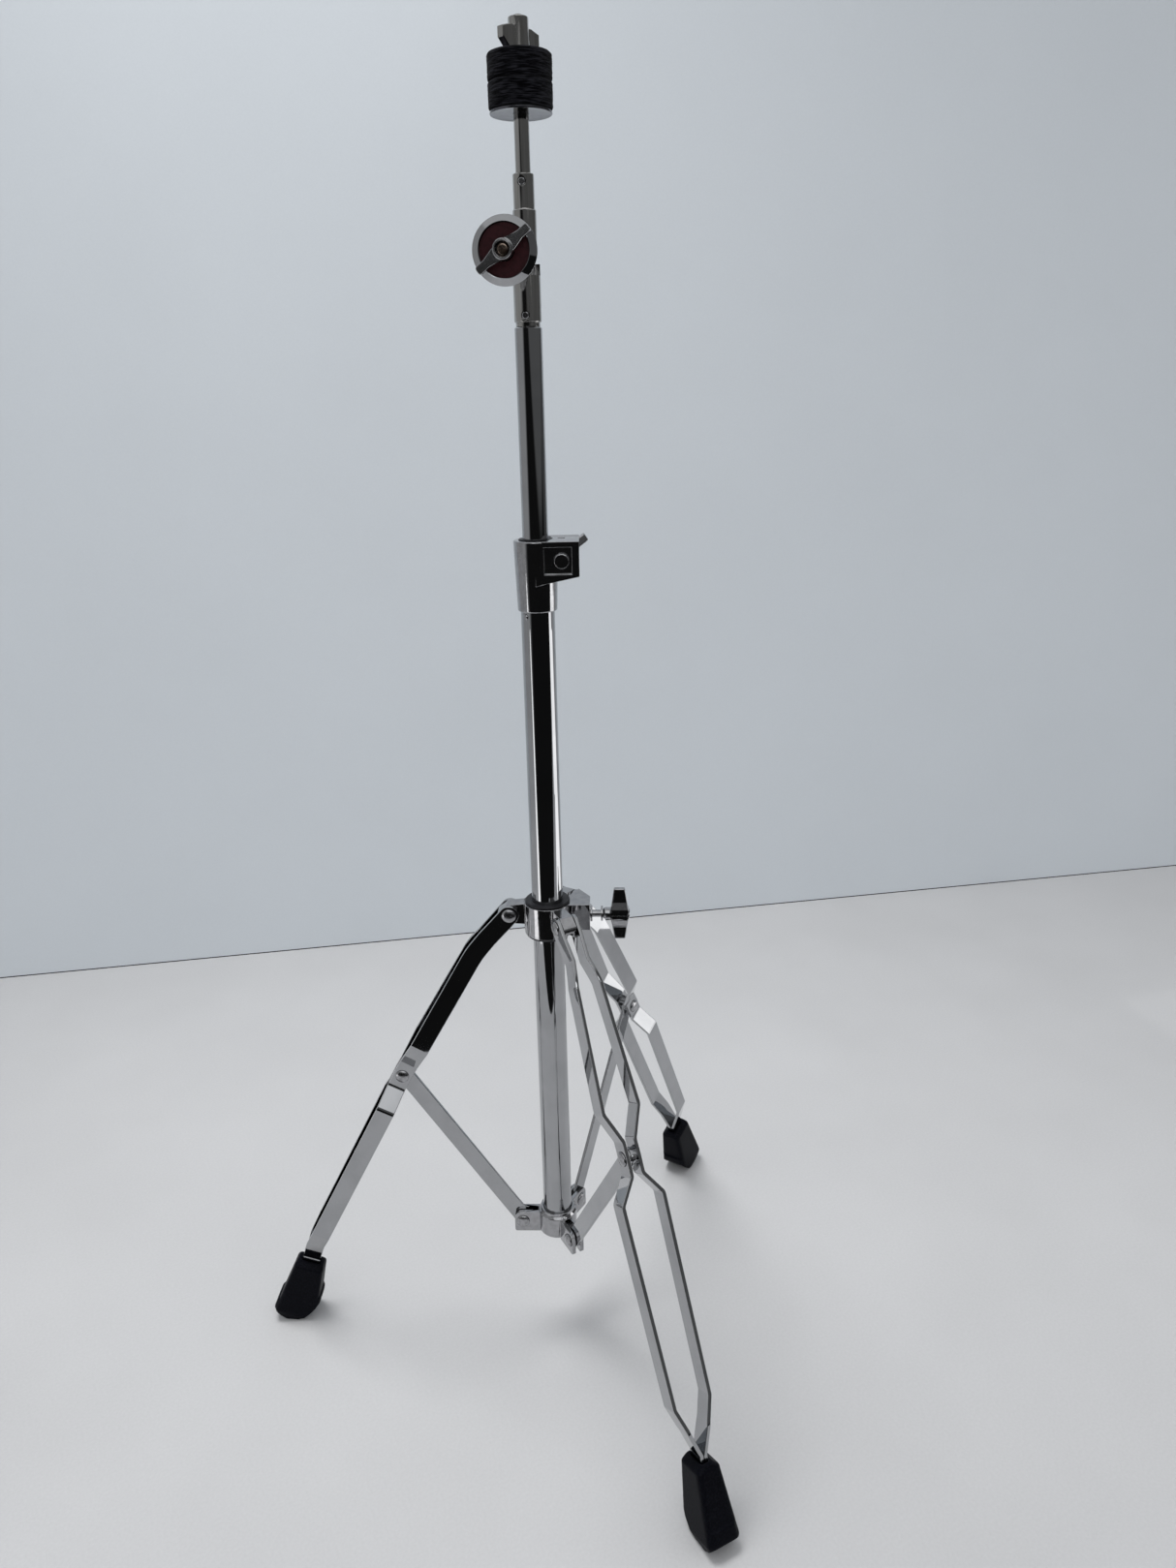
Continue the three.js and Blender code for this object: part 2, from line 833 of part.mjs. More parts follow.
function earGeometry() {
  const { earReach, bottom, earTop, earCorner } = lowerCollar;
  const root = baseTube.radius + seatGap + (lowerCollar.radius - baseTube.radius) / 2;
  const corners = [at(root, bottom), at(earReach, bottom), at(earReach, earTop), at(root, earTop)];
  const points = rounded(corners, [0, earCorner / 3, earCorner, 0]);
  return inLegPlane(plate(points, earHalfWidth * 2));
}

function earFork() {
  const gap = brace.thickness + 2 * lowerCollar.forkGap;
  const start = lowerCollar.radius + seatGap;
  const length = lowerCollar.earReach - start + cutOverrun;
  const height = lowerCollar.top - lowerCollar.bottom;
  const middle = (lowerCollar.top + lowerCollar.bottom) / 2;
  return block(gap, length, height + 2 * cutOverrun, 0, -start - length / 2, middle);
}

function rivetHole(pivot) {
  const reach = lug.halfWidth + cutOverrun;
  return across(bar(rivet.radius + rivetGap, -reach, reach, 0, SMALL_STEPS), pivot.x, pivot.y);
}

function makeLowerCollar() {
  const { radius, bottom, top, lipRadius, lipHeight } = lowerCollar;
  const ring = turned([
    [0, bottom],
    [radius - lipHeight, bottom],
    [radius, bottom + lipHeight],
    [radius, top - lipHeight],
    [lipRadius + lipHeight / 2, top - lipHeight / 2],
    [lipRadius, top],
    [lipRadius, top + lipHeight],
    [0, top + lipHeight],
  ]);
  const ears = eachLeg((azimuth) => turnedTo(earGeometry(), azimuth));
  const forks = eachLeg((azimuth) => turnedTo(earFork(), azimuth));
  const holes = eachLeg((azimuth) => turnedTo(rivetHole(footPivot), azimuth));
  const bore = bar(baseTube.radius + seatGap, baseTube.bottom - seatGap, top + cutOverrun);
  const eye = bar(baseTube.radius - baseTube.wall, bottom - cutOverrun, top);
  addPiece("lower_collar", combine([ring, ...ears], [...forks, ...holes, bore, eye]), finish.chrome);
}

// Base tube, its end plug and the stop rivet below the clamp

function makeBaseTube() {
  const { radius, wall, bottom, top } = baseTube;
  const hole = outwards(bar(stopRivet.radius + rivetGap, 0, radius + cutOverrun, 0, SMALL_STEPS), stopHeight);
  const tube = combine([pipe(radius, radius - wall, bottom, top)], [turnedTo(hole, stopRivet.azimuth)]);
  addPiece("base_tube", tube, finish.chrome);
  const plugRadius = radius - wall - seatGap;
  const plug = turned([
    [0, bottom + endPlug.length],
    [0, lowerCollar.bottom - endPlug.flange],
    [plugRadius - endPlug.flange / 2, lowerCollar.bottom - endPlug.flange],
    [plugRadius, lowerCollar.bottom],
    [plugRadius, bottom + endPlug.length],
    [0, bottom + endPlug.length],
  ]);
  addPiece("tube_end_plug", plug, finish.nylon);
  const head = radius + seatGap / 2;
  const rivetPoints = [
    [0, radius - wall - stopRivet.headHeight],
    [stopRivet.radius, radius - wall - stopRivet.headHeight],
    [stopRivet.radius, head],
    [stopRivet.headRadius, head],
    [stopRivet.radius, head + stopRivet.headHeight],
    [0, head + stopRivet.headHeight],
  ];
  const stop = outwards(turned(rivetPoints, SMALL_STEPS), stopHeight);
  addPiece("tube_stop_rivet", turnedTo(stop, stopRivet.azimuth), finish.darkSteel);
}

const stopHeight = clamp.bottom - stopRivet.below;

// Sliding leg collar: a sleeve, three forked lugs under a web, and the block of the wing screw

function lugGeometry() {
  const { reach, height, noseDrop, noseLength, rootSlope } = lug;
  const top = legCollar.top;
  const root = (legCollar.radius + legCollar.boreRadius) / 2;
  const corners = [
    at(root, top - height),
    at(reach, top - height + rootSlope),
    at(reach, top - noseDrop),
    at(reach - noseLength, top - rootSlope),
    at(root, top),
  ];
  const points = rounded(corners, [0, rivet.radius, rivet.radius, rivet.radius, 0]);
  return inLegPlane(plate(points, lug.halfWidth * 2));
}

function lugHollow() {
  const { reach, height, halfWidth, wall, webThickness, noseDrop } = lug;
  const top = legCollar.top - webThickness;
  const bottom = legCollar.top - height - cutOverrun;
  const start = legCollar.radius + seatGap;
  const corners = [
    at(start, bottom),
    at(reach + cutOverrun, bottom),
    at(reach + cutOverrun, top - noseDrop - webThickness),
    at(reach - noseDrop - webThickness, top),
    at(start, top),
  ];
  return inLegPlane(plate(corners, (halfWidth - wall) * 2));
}

// The block stands outwards along -Y before it is turned to its azimuth, and a web ties it to the next lug.
function screwBlockGeometry() {
  const { reach, halfWidth, bottom } = screwBlock;
  const inner = (legCollar.radius + legCollar.boreRadius) / 2;
  const corners = [at(inner, bottom), at(reach, bottom), at(reach, legCollar.top), at(inner, legCollar.top)];
  return turnedTo(inLegPlane(plate(corners, halfWidth * 2)), screwBlock.azimuth);
}

function blockWeb() {
  const { azimuth, reach, halfWidth, webThickness, webReach } = screwBlock;
  const place = (outward, sideways, turn) => at(sideways, -outward).rotateAround(at(0, 0), turn);
  const next = legAzimuth(1);
  const strapFace = spread.pivot + strap.thickness / 2 + seatGap * 2;
  const corners = [
    place(legCollar.boreRadius, 0, azimuth),
    place(reach, halfWidth, azimuth),
    place(webReach, -strapFace, next),
    place(legCollar.boreRadius, -strapFace, next),
  ];
  const sheet = plate(corners, webThickness);
  return sheet.translate(0, 0, legCollar.top - webThickness / 2);
}

function screwHole() {
  const hole = bar(wingScrew.radius + rivetGap, 0, screwBlock.reach + cutOverrun, 0, SMALL_STEPS);
  return turnedTo(outwards(hole, wingScrew.height), screwBlock.azimuth);
}

function padHole() {
  const hole = bar(wingScrew.padRadius + seatGap, 0, padOuter + seatGap, 0, SMALL_STEPS);
  return turnedTo(outwards(hole, wingScrew.height), screwBlock.azimuth);
}

const padOuter = baseTube.radius + seatGap + wingScrew.padLength;

function makeLegCollar() {
  const { radius, boreRadius, bottom, top } = legCollar;
  const body = bar(radius, bottom, top);
  const lugs = eachLeg((azimuth) => turnedTo(lugGeometry(), azimuth));
  const hollows = eachLeg((azimuth) => turnedTo(lugHollow(), azimuth));
  const holes = eachLeg((azimuth) => turnedTo(rivetHole(collarPivot), azimuth));
  const bore = bar(boreRadius, bottom - cutOverrun, top + cutOverrun);
  const joined = [body, ...lugs, screwBlockGeometry(), blockWeb()];
  const cuts = [...hollows, ...holes, bore, screwHole(), padHole()];
  addPiece("leg_collar", combine(joined, cuts), finish.chrome);
  [["collar_bush_upper", top, 1], ["collar_bush_lower", bottom, -1]].forEach(([name, face, way]) => {
    const skirtEnd = face - way * collarBush.skirt;
    const seat = face + way * (seatGap / 2);
    const proud = face + way * collarBush.flange;
    const inner = baseTube.radius + seatGap;
    const skirtRadius = boreRadius - seatGap;
    const points = [
      [inner, skirtEnd],
      [skirtRadius, skirtEnd],
      [skirtRadius, seat],
      [collarBush.flangeRadius, seat],
      [collarBush.flangeRadius, proud - (way * collarBush.flange) / 3],
      [collarBush.flangeRadius - collarBush.flange / 3, proud],
      [inner, proud],
      [inner, skirtEnd],
    ];
    if (way < 0) points.reverse();
    addPiece(name, turned(points), finish.nylon);
  });
}

// Wing screw: pad, shank with its washers, and a cast handle

function makeWingScrew() {
  const { radius, padRadius, padLength, jamRadius, jamThickness, shankProud } = wingScrew;
  const inner = baseTube.radius + seatGap;
  const pad = bar(padRadius, inner + seatGap, inner + padLength, 0, SMALL_STEPS);
  const padCut = bar(inner, wingScrew.height - padLength * 2, wingScrew.height + padLength * 2);
  const padSolid = combine([turnedTo(outwards(pad, wingScrew.height), screwBlock.azimuth)], [padCut]);
  addPiece("collar_pressure_pad", padSolid, finish.nylon);
  const face = screwBlock.reach + seatGap;
  const tip = padOuter + seatGap;
  const washerStart = screwBlock.reach + shankProud - wingScrew.washerThickness;
  const hubStart = screwBlock.reach + shankProud;
  const shank = [
    [0, tip],
    [radius, tip],
    [radius, face],
    [jamRadius, face],
    [jamRadius, face + jamThickness],
    [radius, face + jamThickness],
    [radius, washerStart],
    [wingScrew.washerRadius, washerStart],
    [wingScrew.washerRadius, hubStart],
    [radius, hubStart],
    [radius, hubStart + wingHandle.hubLength / 2],
    [0, hubStart + wingHandle.hubLength / 2],
  ];
  const screw = outwards(turned(shank, SMALL_STEPS), wingScrew.height);
  addPiece("collar_wing_screw", turnedTo(screw, screwBlock.azimuth), finish.darkSteel);
  const handle = outwards(handleGeometry(hubStart + seatGap).rotateZ(Math.PI / 2), wingScrew.height);
  addPiece("collar_wing_handle", turnedTo(handle, screwBlock.azimuth), finish.chrome);
}

// A cast handle whose hub stands on Z, with its wing's span across X.
function handleGeometry(start) {
  const { hubRadius, hubLength, wingSpan, wingRoot, wingTip, wingThickness, wingSet, edge } = wingHandle;
  const hub = bar(hubRadius, start, start + hubLength, edge, SMALL_STEPS);
  const middle = start + wingSet + wingRoot / 2;
  const half = wingSpan / 2;
  const corners = [
    at(half, middle + wingTip / 2),
    at(hubRadius, middle + wingRoot / 2),
    at(-hubRadius, middle + wingRoot / 2),
    at(-half, middle + wingTip / 2),
    at(-half, middle - wingTip / 2),
    at(-hubRadius, middle - wingRoot / 2),
    at(hubRadius, middle - wingRoot / 2),
    at(half, middle - wingTip / 2),
  ];
  const wings = plate(rounded(corners, edge * 2), wingThickness).rotateX(Math.PI / 2);
  const hole = bar(wingScrew.radius + rivetGap, start - cutOverrun, start + hubLength / 2, 0, SMALL_STEPS);
  return combine([hub, wings], [hole]);
}

// Height clamp: a tapered sleeve with a slit block, drawn shut by a round-headed bolt and a wing nut behind it

// A bar about Z is laid on the clamp bolt's axis, which runs from the front of the block to its back.
function onBoltAxis(geometry) {
  const height = clamp.top - clampBolt.drop;
  return geometry.rotateY(Math.PI / 2).translate(0, -clampBolt.reach, height).rotateZ(clamp.azimuth);
}

// The block's outline across the stand, rising to the back, swept outwards.
function clampBlockGeometry() {
  const { blockFront, blockBack, blockRise, blockReach, blockEndHeight, blockRootHeight, top } = clamp;
  const ring = (reach, height) => [
    new THREE.Vector3(-blockFront, -reach, top - height),
    new THREE.Vector3(blockBack, -reach, top - height),
    new THREE.Vector3(blockBack, -reach, top + blockRise),
    new THREE.Vector3(-blockFront, -reach, top),
  ];
  return loft([ring(blockReach, blockEndHeight), ring(0, blockRootHeight)]).rotateZ(clamp.azimuth);
}

function clampCuts() {
  const { blockFront, blockBack, blockReach, recessWidth, recessHeight, recessDepth, recessSide } = clamp;
  const { recessTop, slit, slitBack, slotLength, slotWidth, slotDepth, top, bottom } = clamp;
  const recessX = -blockFront + recessDepth / 2 - cutOverrun / 2;
  const recessY = -blockReach + recessSide + recessWidth / 2;
  const recessZ = top - recessTop - recessHeight / 2;
  const recess = block(recessDepth + cutOverrun, recessWidth, recessHeight, recessX, recessY, recessZ);
  const slitLength = blockReach + cutOverrun;
  const slitHeight = top - bottom + clamp.blockRise + 2 * cutOverrun;
  const slitCut = block(slit, slitLength, slitHeight, slitBack, -slitLength / 2, (top + bottom) / 2);
  const slot = block(slotWidth, slotLength, slotDepth, 0, -clampBolt.reach, top + clamp.blockRise / 2);
  const reach = blockFront + blockBack;
  const hole = onBoltAxis(bar(clampBolt.radius + rivetGap, -reach, reach, 0, SMALL_STEPS));
  return [recess, slitCut, slot].map((cut) => cut.rotateZ(clamp.azimuth)).concat(hole);
}

function makeHeightClamp() {
  const { bottom, top, topRadius, bottomRadius, edge } = clamp;
  const body = turned([
    [0, bottom],
    [bottomRadius - edge, bottom],
    [bottomRadius, bottom + edge],
    [topRadius, top - edge],
    [topRadius - edge, top],
    [0, top],
  ]);
  const tubeBore = bar(baseTube.radius + seatGap, bottom - cutOverrun, baseTube.top + seatGap);
  const bushBore = bar(clampBush.radius + seatGap, baseTube.top, top + clamp.blockRise + cutOverrun);
  const casting = combine([body, clampBlockGeometry()], [tubeBore, bushBore, ...clampCuts()]);
  addPiece("height_clamp", casting, finish.chrome);
  const bushTop = top + clampBush.proud;
  const ring = pipe(clampBush.radius, upperTube.radius + seatGap / 2, bushTop - clampBush.length, bushTop);
  const cut = block(clampBush.slit, clampBush.radius * 2, clampBush.length * 3, 0, clampBush.radius, bushTop);
  addPiece("clamp_bush", combine([ring], [cut]), finish.nylon);
}

function makeClampBolt() {
  const { radius, headRadius, headThickness, headEdge, wingTurn } = clampBolt;
  const seat = clamp.recessDepth - clamp.blockFront - seatGap;
  const handleStart = clamp.blockBack + seatGap;
  const end = handleStart + wingHandle.hubLength / 2 - seatGap;
  const bolt = turned([
    [0, seat - headThickness],
    [headRadius - headEdge, seat - headThickness],
    [headRadius, seat - headThickness + headEdge],
    [headRadius, seat],
    [radius, seat],
    [radius, end],
    [0, end],
  ], SMALL_STEPS);
  addPiece("clamp_bolt", onBoltAxis(bolt), finish.darkSteel);
  const handle = handleGeometry(handleStart).rotateZ(wingTurn);
  addPiece("clamp_wing_handle", onBoltAxis(handle), finish.chrome);
}

// Upper tube and tilter base

function makeUpperTube() {
  const { radius, wall, bottom, top, shoulder } = upperTube;
  const inner = radius - wall;
  const tube = turned([
    [inner, bottom],
    [radius, bottom],
    [radius, top - shoulder],
    [radius - shoulder / 3, top - shoulder / 3],
    [radius - shoulder, top],
    [inner, top],
    [inner, bottom],
  ]);
  addPiece("upper_tube", tube, finish.chrome);
}

// Tilter pieces are turned about the pivot's axis: Z becomes the way the cap faces.
function onTilterAxis(geometry) {
  const laid = outwards(geometry, tilter.pivotHeight).translate(-tilter.pivotOffset, 0, 0);
  return turnedTo(laid, tilter.azimuth);
}

// The half of a post's end on one side of the joint's face: way is 1 for the cap's side and -1 for the far side.
function knuckleCut(way) {
  const size = 2 * (tilter.knuckleRadius + seatGap);
  const depth = tilter.baseRadius + cutOverrun;
  const cut = block(size * 2, depth, size, 0, -way * (depth / 2 - seatGap / 2), tilter.pivotHeight);
  return turnedTo(cut, tilter.azimuth);
}

function knuckle(way) {
  const disc = bar(tilter.knuckleRadius, seatGap / 2, tilter.baseRadius, tilter.edge);
  if (way < 0) disc.rotateX(Math.PI);
  return onTilterAxis(disc);
}

function boltHole() {
  const reach = tilter.baseRadius + cutOverrun;
  return onTilterAxis(bar(tilter.boltRadius + rivetGap, -reach, reach, 0, SMALL_STEPS));
}

function screwSeat(radius, height) {
  const start = radius - setScrew.depth;
  const hole = bar(setScrew.radius + seatGap, start, radius + cutOverrun, 0, SMALL_STEPS);
  return turnedTo(outwards(hole, height), setScrew.azimuth);
}

function setScrewGeometry(radius, height) {
  const start = radius - setScrew.depth + seatGap;
  const body = bar(setScrew.radius, start, radius + setScrew.proud, setScrew.proud, SMALL_STEPS);
  return turnedTo(outwards(body, height), setScrew.azimuth);
}

function makeTilterBase() {
  const { baseRadius, baseBottom, grooveRadius, plugLength, pivotHeight, neckRise, edge } = tilter;
  const plugRadius = upperTube.radius - upperTube.wall - seatGap;
  const post = turned([
    [0, upperTube.top - plugLength],
    [plugRadius, upperTube.top - plugLength],
    [plugRadius, upperTube.top + seatGap],
    [grooveRadius, upperTube.top + seatGap],
    [grooveRadius, baseBottom],
    [baseRadius - edge, baseBottom],
    [baseRadius, baseBottom + edge],
    [baseRadius, pivotHeight - neckRise],
    [0, pivotHeight - neckRise],
  ]);
  const halved = combine([post], [knuckleCut(1)]);
  const cuts = [boltHole(), screwSeat(baseRadius, setScrew.baseHeight)];
  addPiece("tilter_base", combine([halved, knuckle(-1)], cuts), finish.chrome);
  addPiece("tilter_base_screw", setScrewGeometry(baseRadius, setScrew.baseHeight), finish.darkSteel);
}

function makeTilterHead() {
  const { headRadius, pivotHeight, headTop, stemRadius, stemTop, neckRise, edge } = tilter;
  const post = turned([
    [0, pivotHeight + neckRise],
    [headRadius, pivotHeight + neckRise],
    [headRadius, headTop],
    [stemRadius, headTop + edge],
    [stemRadius, stemTop - edge / 2],
    [stemRadius - edge / 2, stemTop],
    [0, stemTop],
  ]);
  const socketCut = bar(rod.radius + seatGap, stemTop - rod.socketDepth, stemTop + cutOverrun, 0, SMALL_STEPS);
  const cuts = [boltHole(), socketCut, screwSeat(stemRadius, setScrew.stemHeight)];
  const halved = combine([post], [knuckleCut(-1)]);
  addPiece("tilter_head", combine([halved, knuckle(1)], cuts), finish.chrome);
  addPiece("tilter_head_screw", setScrewGeometry(stemRadius, setScrew.stemHeight), finish.darkSteel);
}

// Dished cap with its coloured inlay, friction washer, pivot bolt and S-shaped wing

function makeTilterCap() {
  const { radius, back, backRadius, rimBack, rimSideRadius, front, recessRadius, recessDepth, lipBevel } = cap;
  const boreRadius = tilter.boltRadius + rivetGap;
  const floor = front - recessDepth;
  const dish = turned([
    [boreRadius, back],
    [backRadius, back],
    [(backRadius + rimSideRadius) / 2, (back + rimBack) / 2],
    [rimSideRadius, rimBack],
    [radius, rimBack + lipBevel],
    [radius, front - lipBevel],
    [radius - lipBevel, front],
    [recessRadius + lipBevel, front],
    [recessRadius, front - lipBevel],
    [recessRadius, floor],
    [boreRadius, floor],
    [boreRadius, back],
  ]);
  addPiece("tilter_cap", onTilterAxis(dish), finish.chrome);
  const inlayBottom = floor + seatGap;
  const disc = pipe(recessRadius - seatGap, wing.hubRadius + seatGap, inlayBottom, inlayBottom + inlay.thickness);
  addPiece("tilter_inlay", onTilterAxis(disc), finish.burgundy);
  const washerBack = tilter.baseRadius + seatGap;
  const washer = pipe(cap.washerRadius, boreRadius, washerBack, washerBack + cap.washerThickness);
  addPiece("tilter_washer", onTilterAxis(washer), finish.nylon);
}

// The wing's outline is one bowed arm, repeated half a turn on.
function wingOutline() {
  const { hubRadius, reach, tipWidth, rootWidth, bow } = wing;
  const arm = [
    at(hubRadius, -rootWidth / 2),
    at((hubRadius + reach) / 2, -tipWidth / 2 + bow / 2),
    at(reach, -tipWidth / 2 + bow),
    at(reach, tipWidth / 2 + bow),
    at((hubRadius + reach) / 2, tipWidth / 2 + bow / 2),
    at(hubRadius, rootWidth / 2),
  ];
  const origin = at(0, 0);
  const other = arm.map((point) => point.clone().rotateAround(origin, Math.PI));
  return rounded([...arm, ...other], tipWidth / 3);
}

function makeTilterWing() {
  const { hubRadius, hubInner, thickness, hubProud, azimuth } = wing;
  const start = cap.front + seatGap;
  const arms = plate(wingOutline(), thickness).translate(0, 0, start + thickness / 2).rotateZ(azimuth);
  const hubStart = cap.front - cap.recessDepth + seatGap;
  const hub = bar(hubRadius, hubStart, start + thickness + hubProud, tilter.edge / 2);
  const bore = bar(tilter.boltRadius + rivetGap, hubStart - cutOverrun, start + cutOverrun * 4, 0, SMALL_STEPS);
  const dish = bar(hubInner, start + thickness - hubProud / 2, start + thickness + hubProud * 2, 0, SMALL_STEPS);
  addPiece("tilter_wing", onTilterAxis(combine([hub, arms], [bore, dish])), finish.chrome);
  const { boltRadius, boltHeadRadius, boltHeadThickness, baseRadius } = tilter;
  const headFace = -baseRadius - seatGap;
  const end = start + thickness + hubProud / 2;
  const bolt = turned([
    [0, headFace - boltHeadThickness],
    [boltHeadRadius - tilter.edge, headFace - boltHeadThickness],
    [boltHeadRadius, headFace - boltHeadThickness + tilter.edge],
    [boltHeadRadius, headFace],
    [boltRadius, headFace],
    [boltRadius, end - tilter.edge],
    [boltRadius - tilter.edge, end],
    [0, end],
  ], SMALL_STEPS);
  addPiece("tilter_bolt", onTilterAxis(bolt), finish.darkSteel);
}

// Rod, seat sleeve, cup washer, felts and wing nut

function makeRod() {
  const { radius, socketDepth, threadRadius, threadStart, top, topBevel } = rod;
  const bottom = tilter.stemTop - socketDepth + seatGap;
  const profile = turned([
    [0, bottom],
    [radius - topBevel, bottom],
    [radius, bottom + topBevel],
    [radius, threadStart - topBevel],
    [threadRadius, threadStart],
    [threadRadius, top - topBevel],
    [threadRadius - topBevel, top],
    [0, top],
  ], SMALL_STEPS);
  addPiece("cymbal_rod", profile, finish.chrome);
  const inner = threadRadius + seatGap / 2;
  const tube = pipe(sleeve.radius, inner, threadStart + seatGap, sleeve.top, SMALL_STEPS);
  addPiece("seat_sleeve", tube, finish.nylon);
}

function makeCupWasher() {
  const { radius, thickness, dish, dishRadius, bottom } = cup;
  const inner = rod.radius + seatGap / 2;
  const washer = turned([
    [inner, bottom + dish / 2],
    [dishRadius, bottom + dish / 2],
    [radius, bottom],
    [radius, bottom + thickness],
    [dishRadius, bottom + thickness + dish / 2],
    [inner, bottom + thickness + dish / 2],
    [inner, bottom + dish / 2],
  ]);
  addPiece("cup_washer", washer, finish.chrome);
}

function feltGeometry(bottom) {
  const inner = sleeve.radius + felt.boreGap;
  const top = bottom + felt.thickness;
  return turned([
    [inner, bottom],
    [felt.radius - felt.edge, bottom],
    [felt.radius, bottom + felt.edge],
    [felt.radius, top - felt.edge],
    [felt.radius - felt.edge, top],
    [inner, top],
    [inner, bottom],
  ]);
}

function nutGeometry(bottom) {
  const { hubRadius, hubTopRadius, hubHeight, wingReach, wingTop, wingShoulder, wingFoot } = nut;
  const { tipTop, tipBottom, footRise, wingThickness, azimuth } = nut;
  const hub = turned([
    [0, bottom],
    [hubRadius, bottom],
    [hubTopRadius, bottom + wingTop],
    [hubTopRadius, bottom + hubHeight],
    [0, bottom + hubHeight],
  ], SMALL_STEPS);
  const half = [
    at(wingFoot, bottom + footRise),
    at(wingReach, bottom + tipBottom),
    at(wingReach, bottom + tipTop),
    at(wingShoulder, bottom + wingTop),
  ];
  const corners = [...half, ...half.map((point) => at(-point.x, point.y)).reverse()];
  const wings = inLegPlane(plate(rounded(corners, footRise), wingThickness));
  const bore = bar(rod.threadRadius + seatGap / 2, bottom - cutOverrun, bottom + hubHeight + cutOverrun, 0, SMALL_STEPS);
  return turnedTo(combine([hub, wings], [bore]), azimuth);
}

function makeTop() {
  makeRod();
  makeCupWasher();
  addPiece("lower_felt", feltGeometry(felt.bottom), finish.felt);
  addPiece("upper_felt", feltGeometry(felt.upperBottom), finish.felt);
  addPiece("wing_nut", nutGeometry(nut.bottom), finish.chrome);
}

makeLegs();
makeLowerCollar();
makeBaseTube();
makeLegCollar();
makeWingScrew();
makeHeightClamp();
makeClampBolt();
makeUpperTube();
makeTilterBase();
makeTilterHead();
makeTilterCap();
makeTilterWing();
makeTop();

// The tube's axis stands behind the middle of the floor that the three boots cover.
const soleReach = socket.x + (socket.y * bootDown.x) / -bootDown.y + boot.soleHalfDepth;
const backReach = soleReach * Math.cos(Math.PI / LEG_COUNT) + boot.soleHalfWidth * Math.sin(Math.PI / LEG_COUNT);
model.position.y = (soleReach - backReach) / 2;

export default stand;
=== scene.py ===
"""Looks of a straight cymbal stand: mirror chrome tripod and tubes, black boots and felts, in a plain studio.

Lengths are in millimetres until they are turned into Blender's metres. The stand's tube rises along +Z.
"""

from __future__ import annotations

import json
import logging
import math
from dataclasses import dataclass, field
from enum import Enum
from typing import Callable, Sequence

import bpy
import numpy as np
from mathutils import Matrix, Vector, noise

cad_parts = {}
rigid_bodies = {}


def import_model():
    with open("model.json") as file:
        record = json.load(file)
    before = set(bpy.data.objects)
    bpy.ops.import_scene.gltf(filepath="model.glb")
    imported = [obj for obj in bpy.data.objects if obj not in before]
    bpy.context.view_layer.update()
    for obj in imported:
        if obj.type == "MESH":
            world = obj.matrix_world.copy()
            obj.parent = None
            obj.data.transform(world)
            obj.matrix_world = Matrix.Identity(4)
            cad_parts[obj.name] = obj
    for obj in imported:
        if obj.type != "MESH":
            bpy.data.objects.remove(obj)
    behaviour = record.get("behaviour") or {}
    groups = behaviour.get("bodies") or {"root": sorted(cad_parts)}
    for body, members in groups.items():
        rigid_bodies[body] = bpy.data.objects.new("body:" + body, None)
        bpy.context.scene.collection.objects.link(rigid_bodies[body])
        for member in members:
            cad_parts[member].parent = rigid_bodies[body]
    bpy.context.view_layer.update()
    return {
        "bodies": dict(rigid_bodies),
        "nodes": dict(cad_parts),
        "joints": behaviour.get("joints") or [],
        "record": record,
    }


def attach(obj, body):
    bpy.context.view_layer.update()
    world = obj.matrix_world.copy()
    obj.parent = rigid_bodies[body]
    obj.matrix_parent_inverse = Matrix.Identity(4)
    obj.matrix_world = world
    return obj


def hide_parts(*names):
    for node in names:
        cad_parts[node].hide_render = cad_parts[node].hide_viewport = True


LOG = logging.getLogger("cymbal_stand")
MM = 0.001
TURN = 2.0 * math.pi
SHADER = "Principled BSDF"
OUTPUT = "Material Output"
MARK_DETAIL = 4.0
MARK_DEPTH = 0.0004
FLECK_EDGES = (0.4, 0.68)
ARC_SHARE = 0.45

Flat = tuple[float, float]
Point = tuple[float, float, float]
Profile = Sequence[Flat]
Piece = bpy.types.Object
Material = bpy.types.Material


class Slot(Enum):
    """The record's material slots."""

    CHROME = "chrome"
    STEEL = "dark_steel"
    NYLON = "nylon"
    RUBBER = "rubber"
    FELT = "felt"
    DISC = "burgundy"


class Ring(Enum):
    """How the ends of a turned profile meet."""

    CLOSED = "closed"
    OPEN = "open"


class Way(Enum):
    """How two pieces' shapes are put together."""

    CUT = "DIFFERENCE"
    JOIN = "UNION"


# Frames


def moved(x: float, y: float, z: float) -> Matrix:
    """Return a move along the axes."""
    return Matrix.Translation(Vector((x, y, z)))


def rotated(degrees: float, axis: str) -> Matrix:
    """Return a turn about an axis."""
    return Matrix.Rotation(math.radians(degrees), 4, axis)


def metric(place: Matrix) -> Matrix:
    """Turn a frame in millimetres into one in metres.

    Args:
        place: The frame in millimetres.

    Returns:
        A copy in metres.
    """
    frame = place.copy()
    frame.translation = place.translation * MM
    return frame


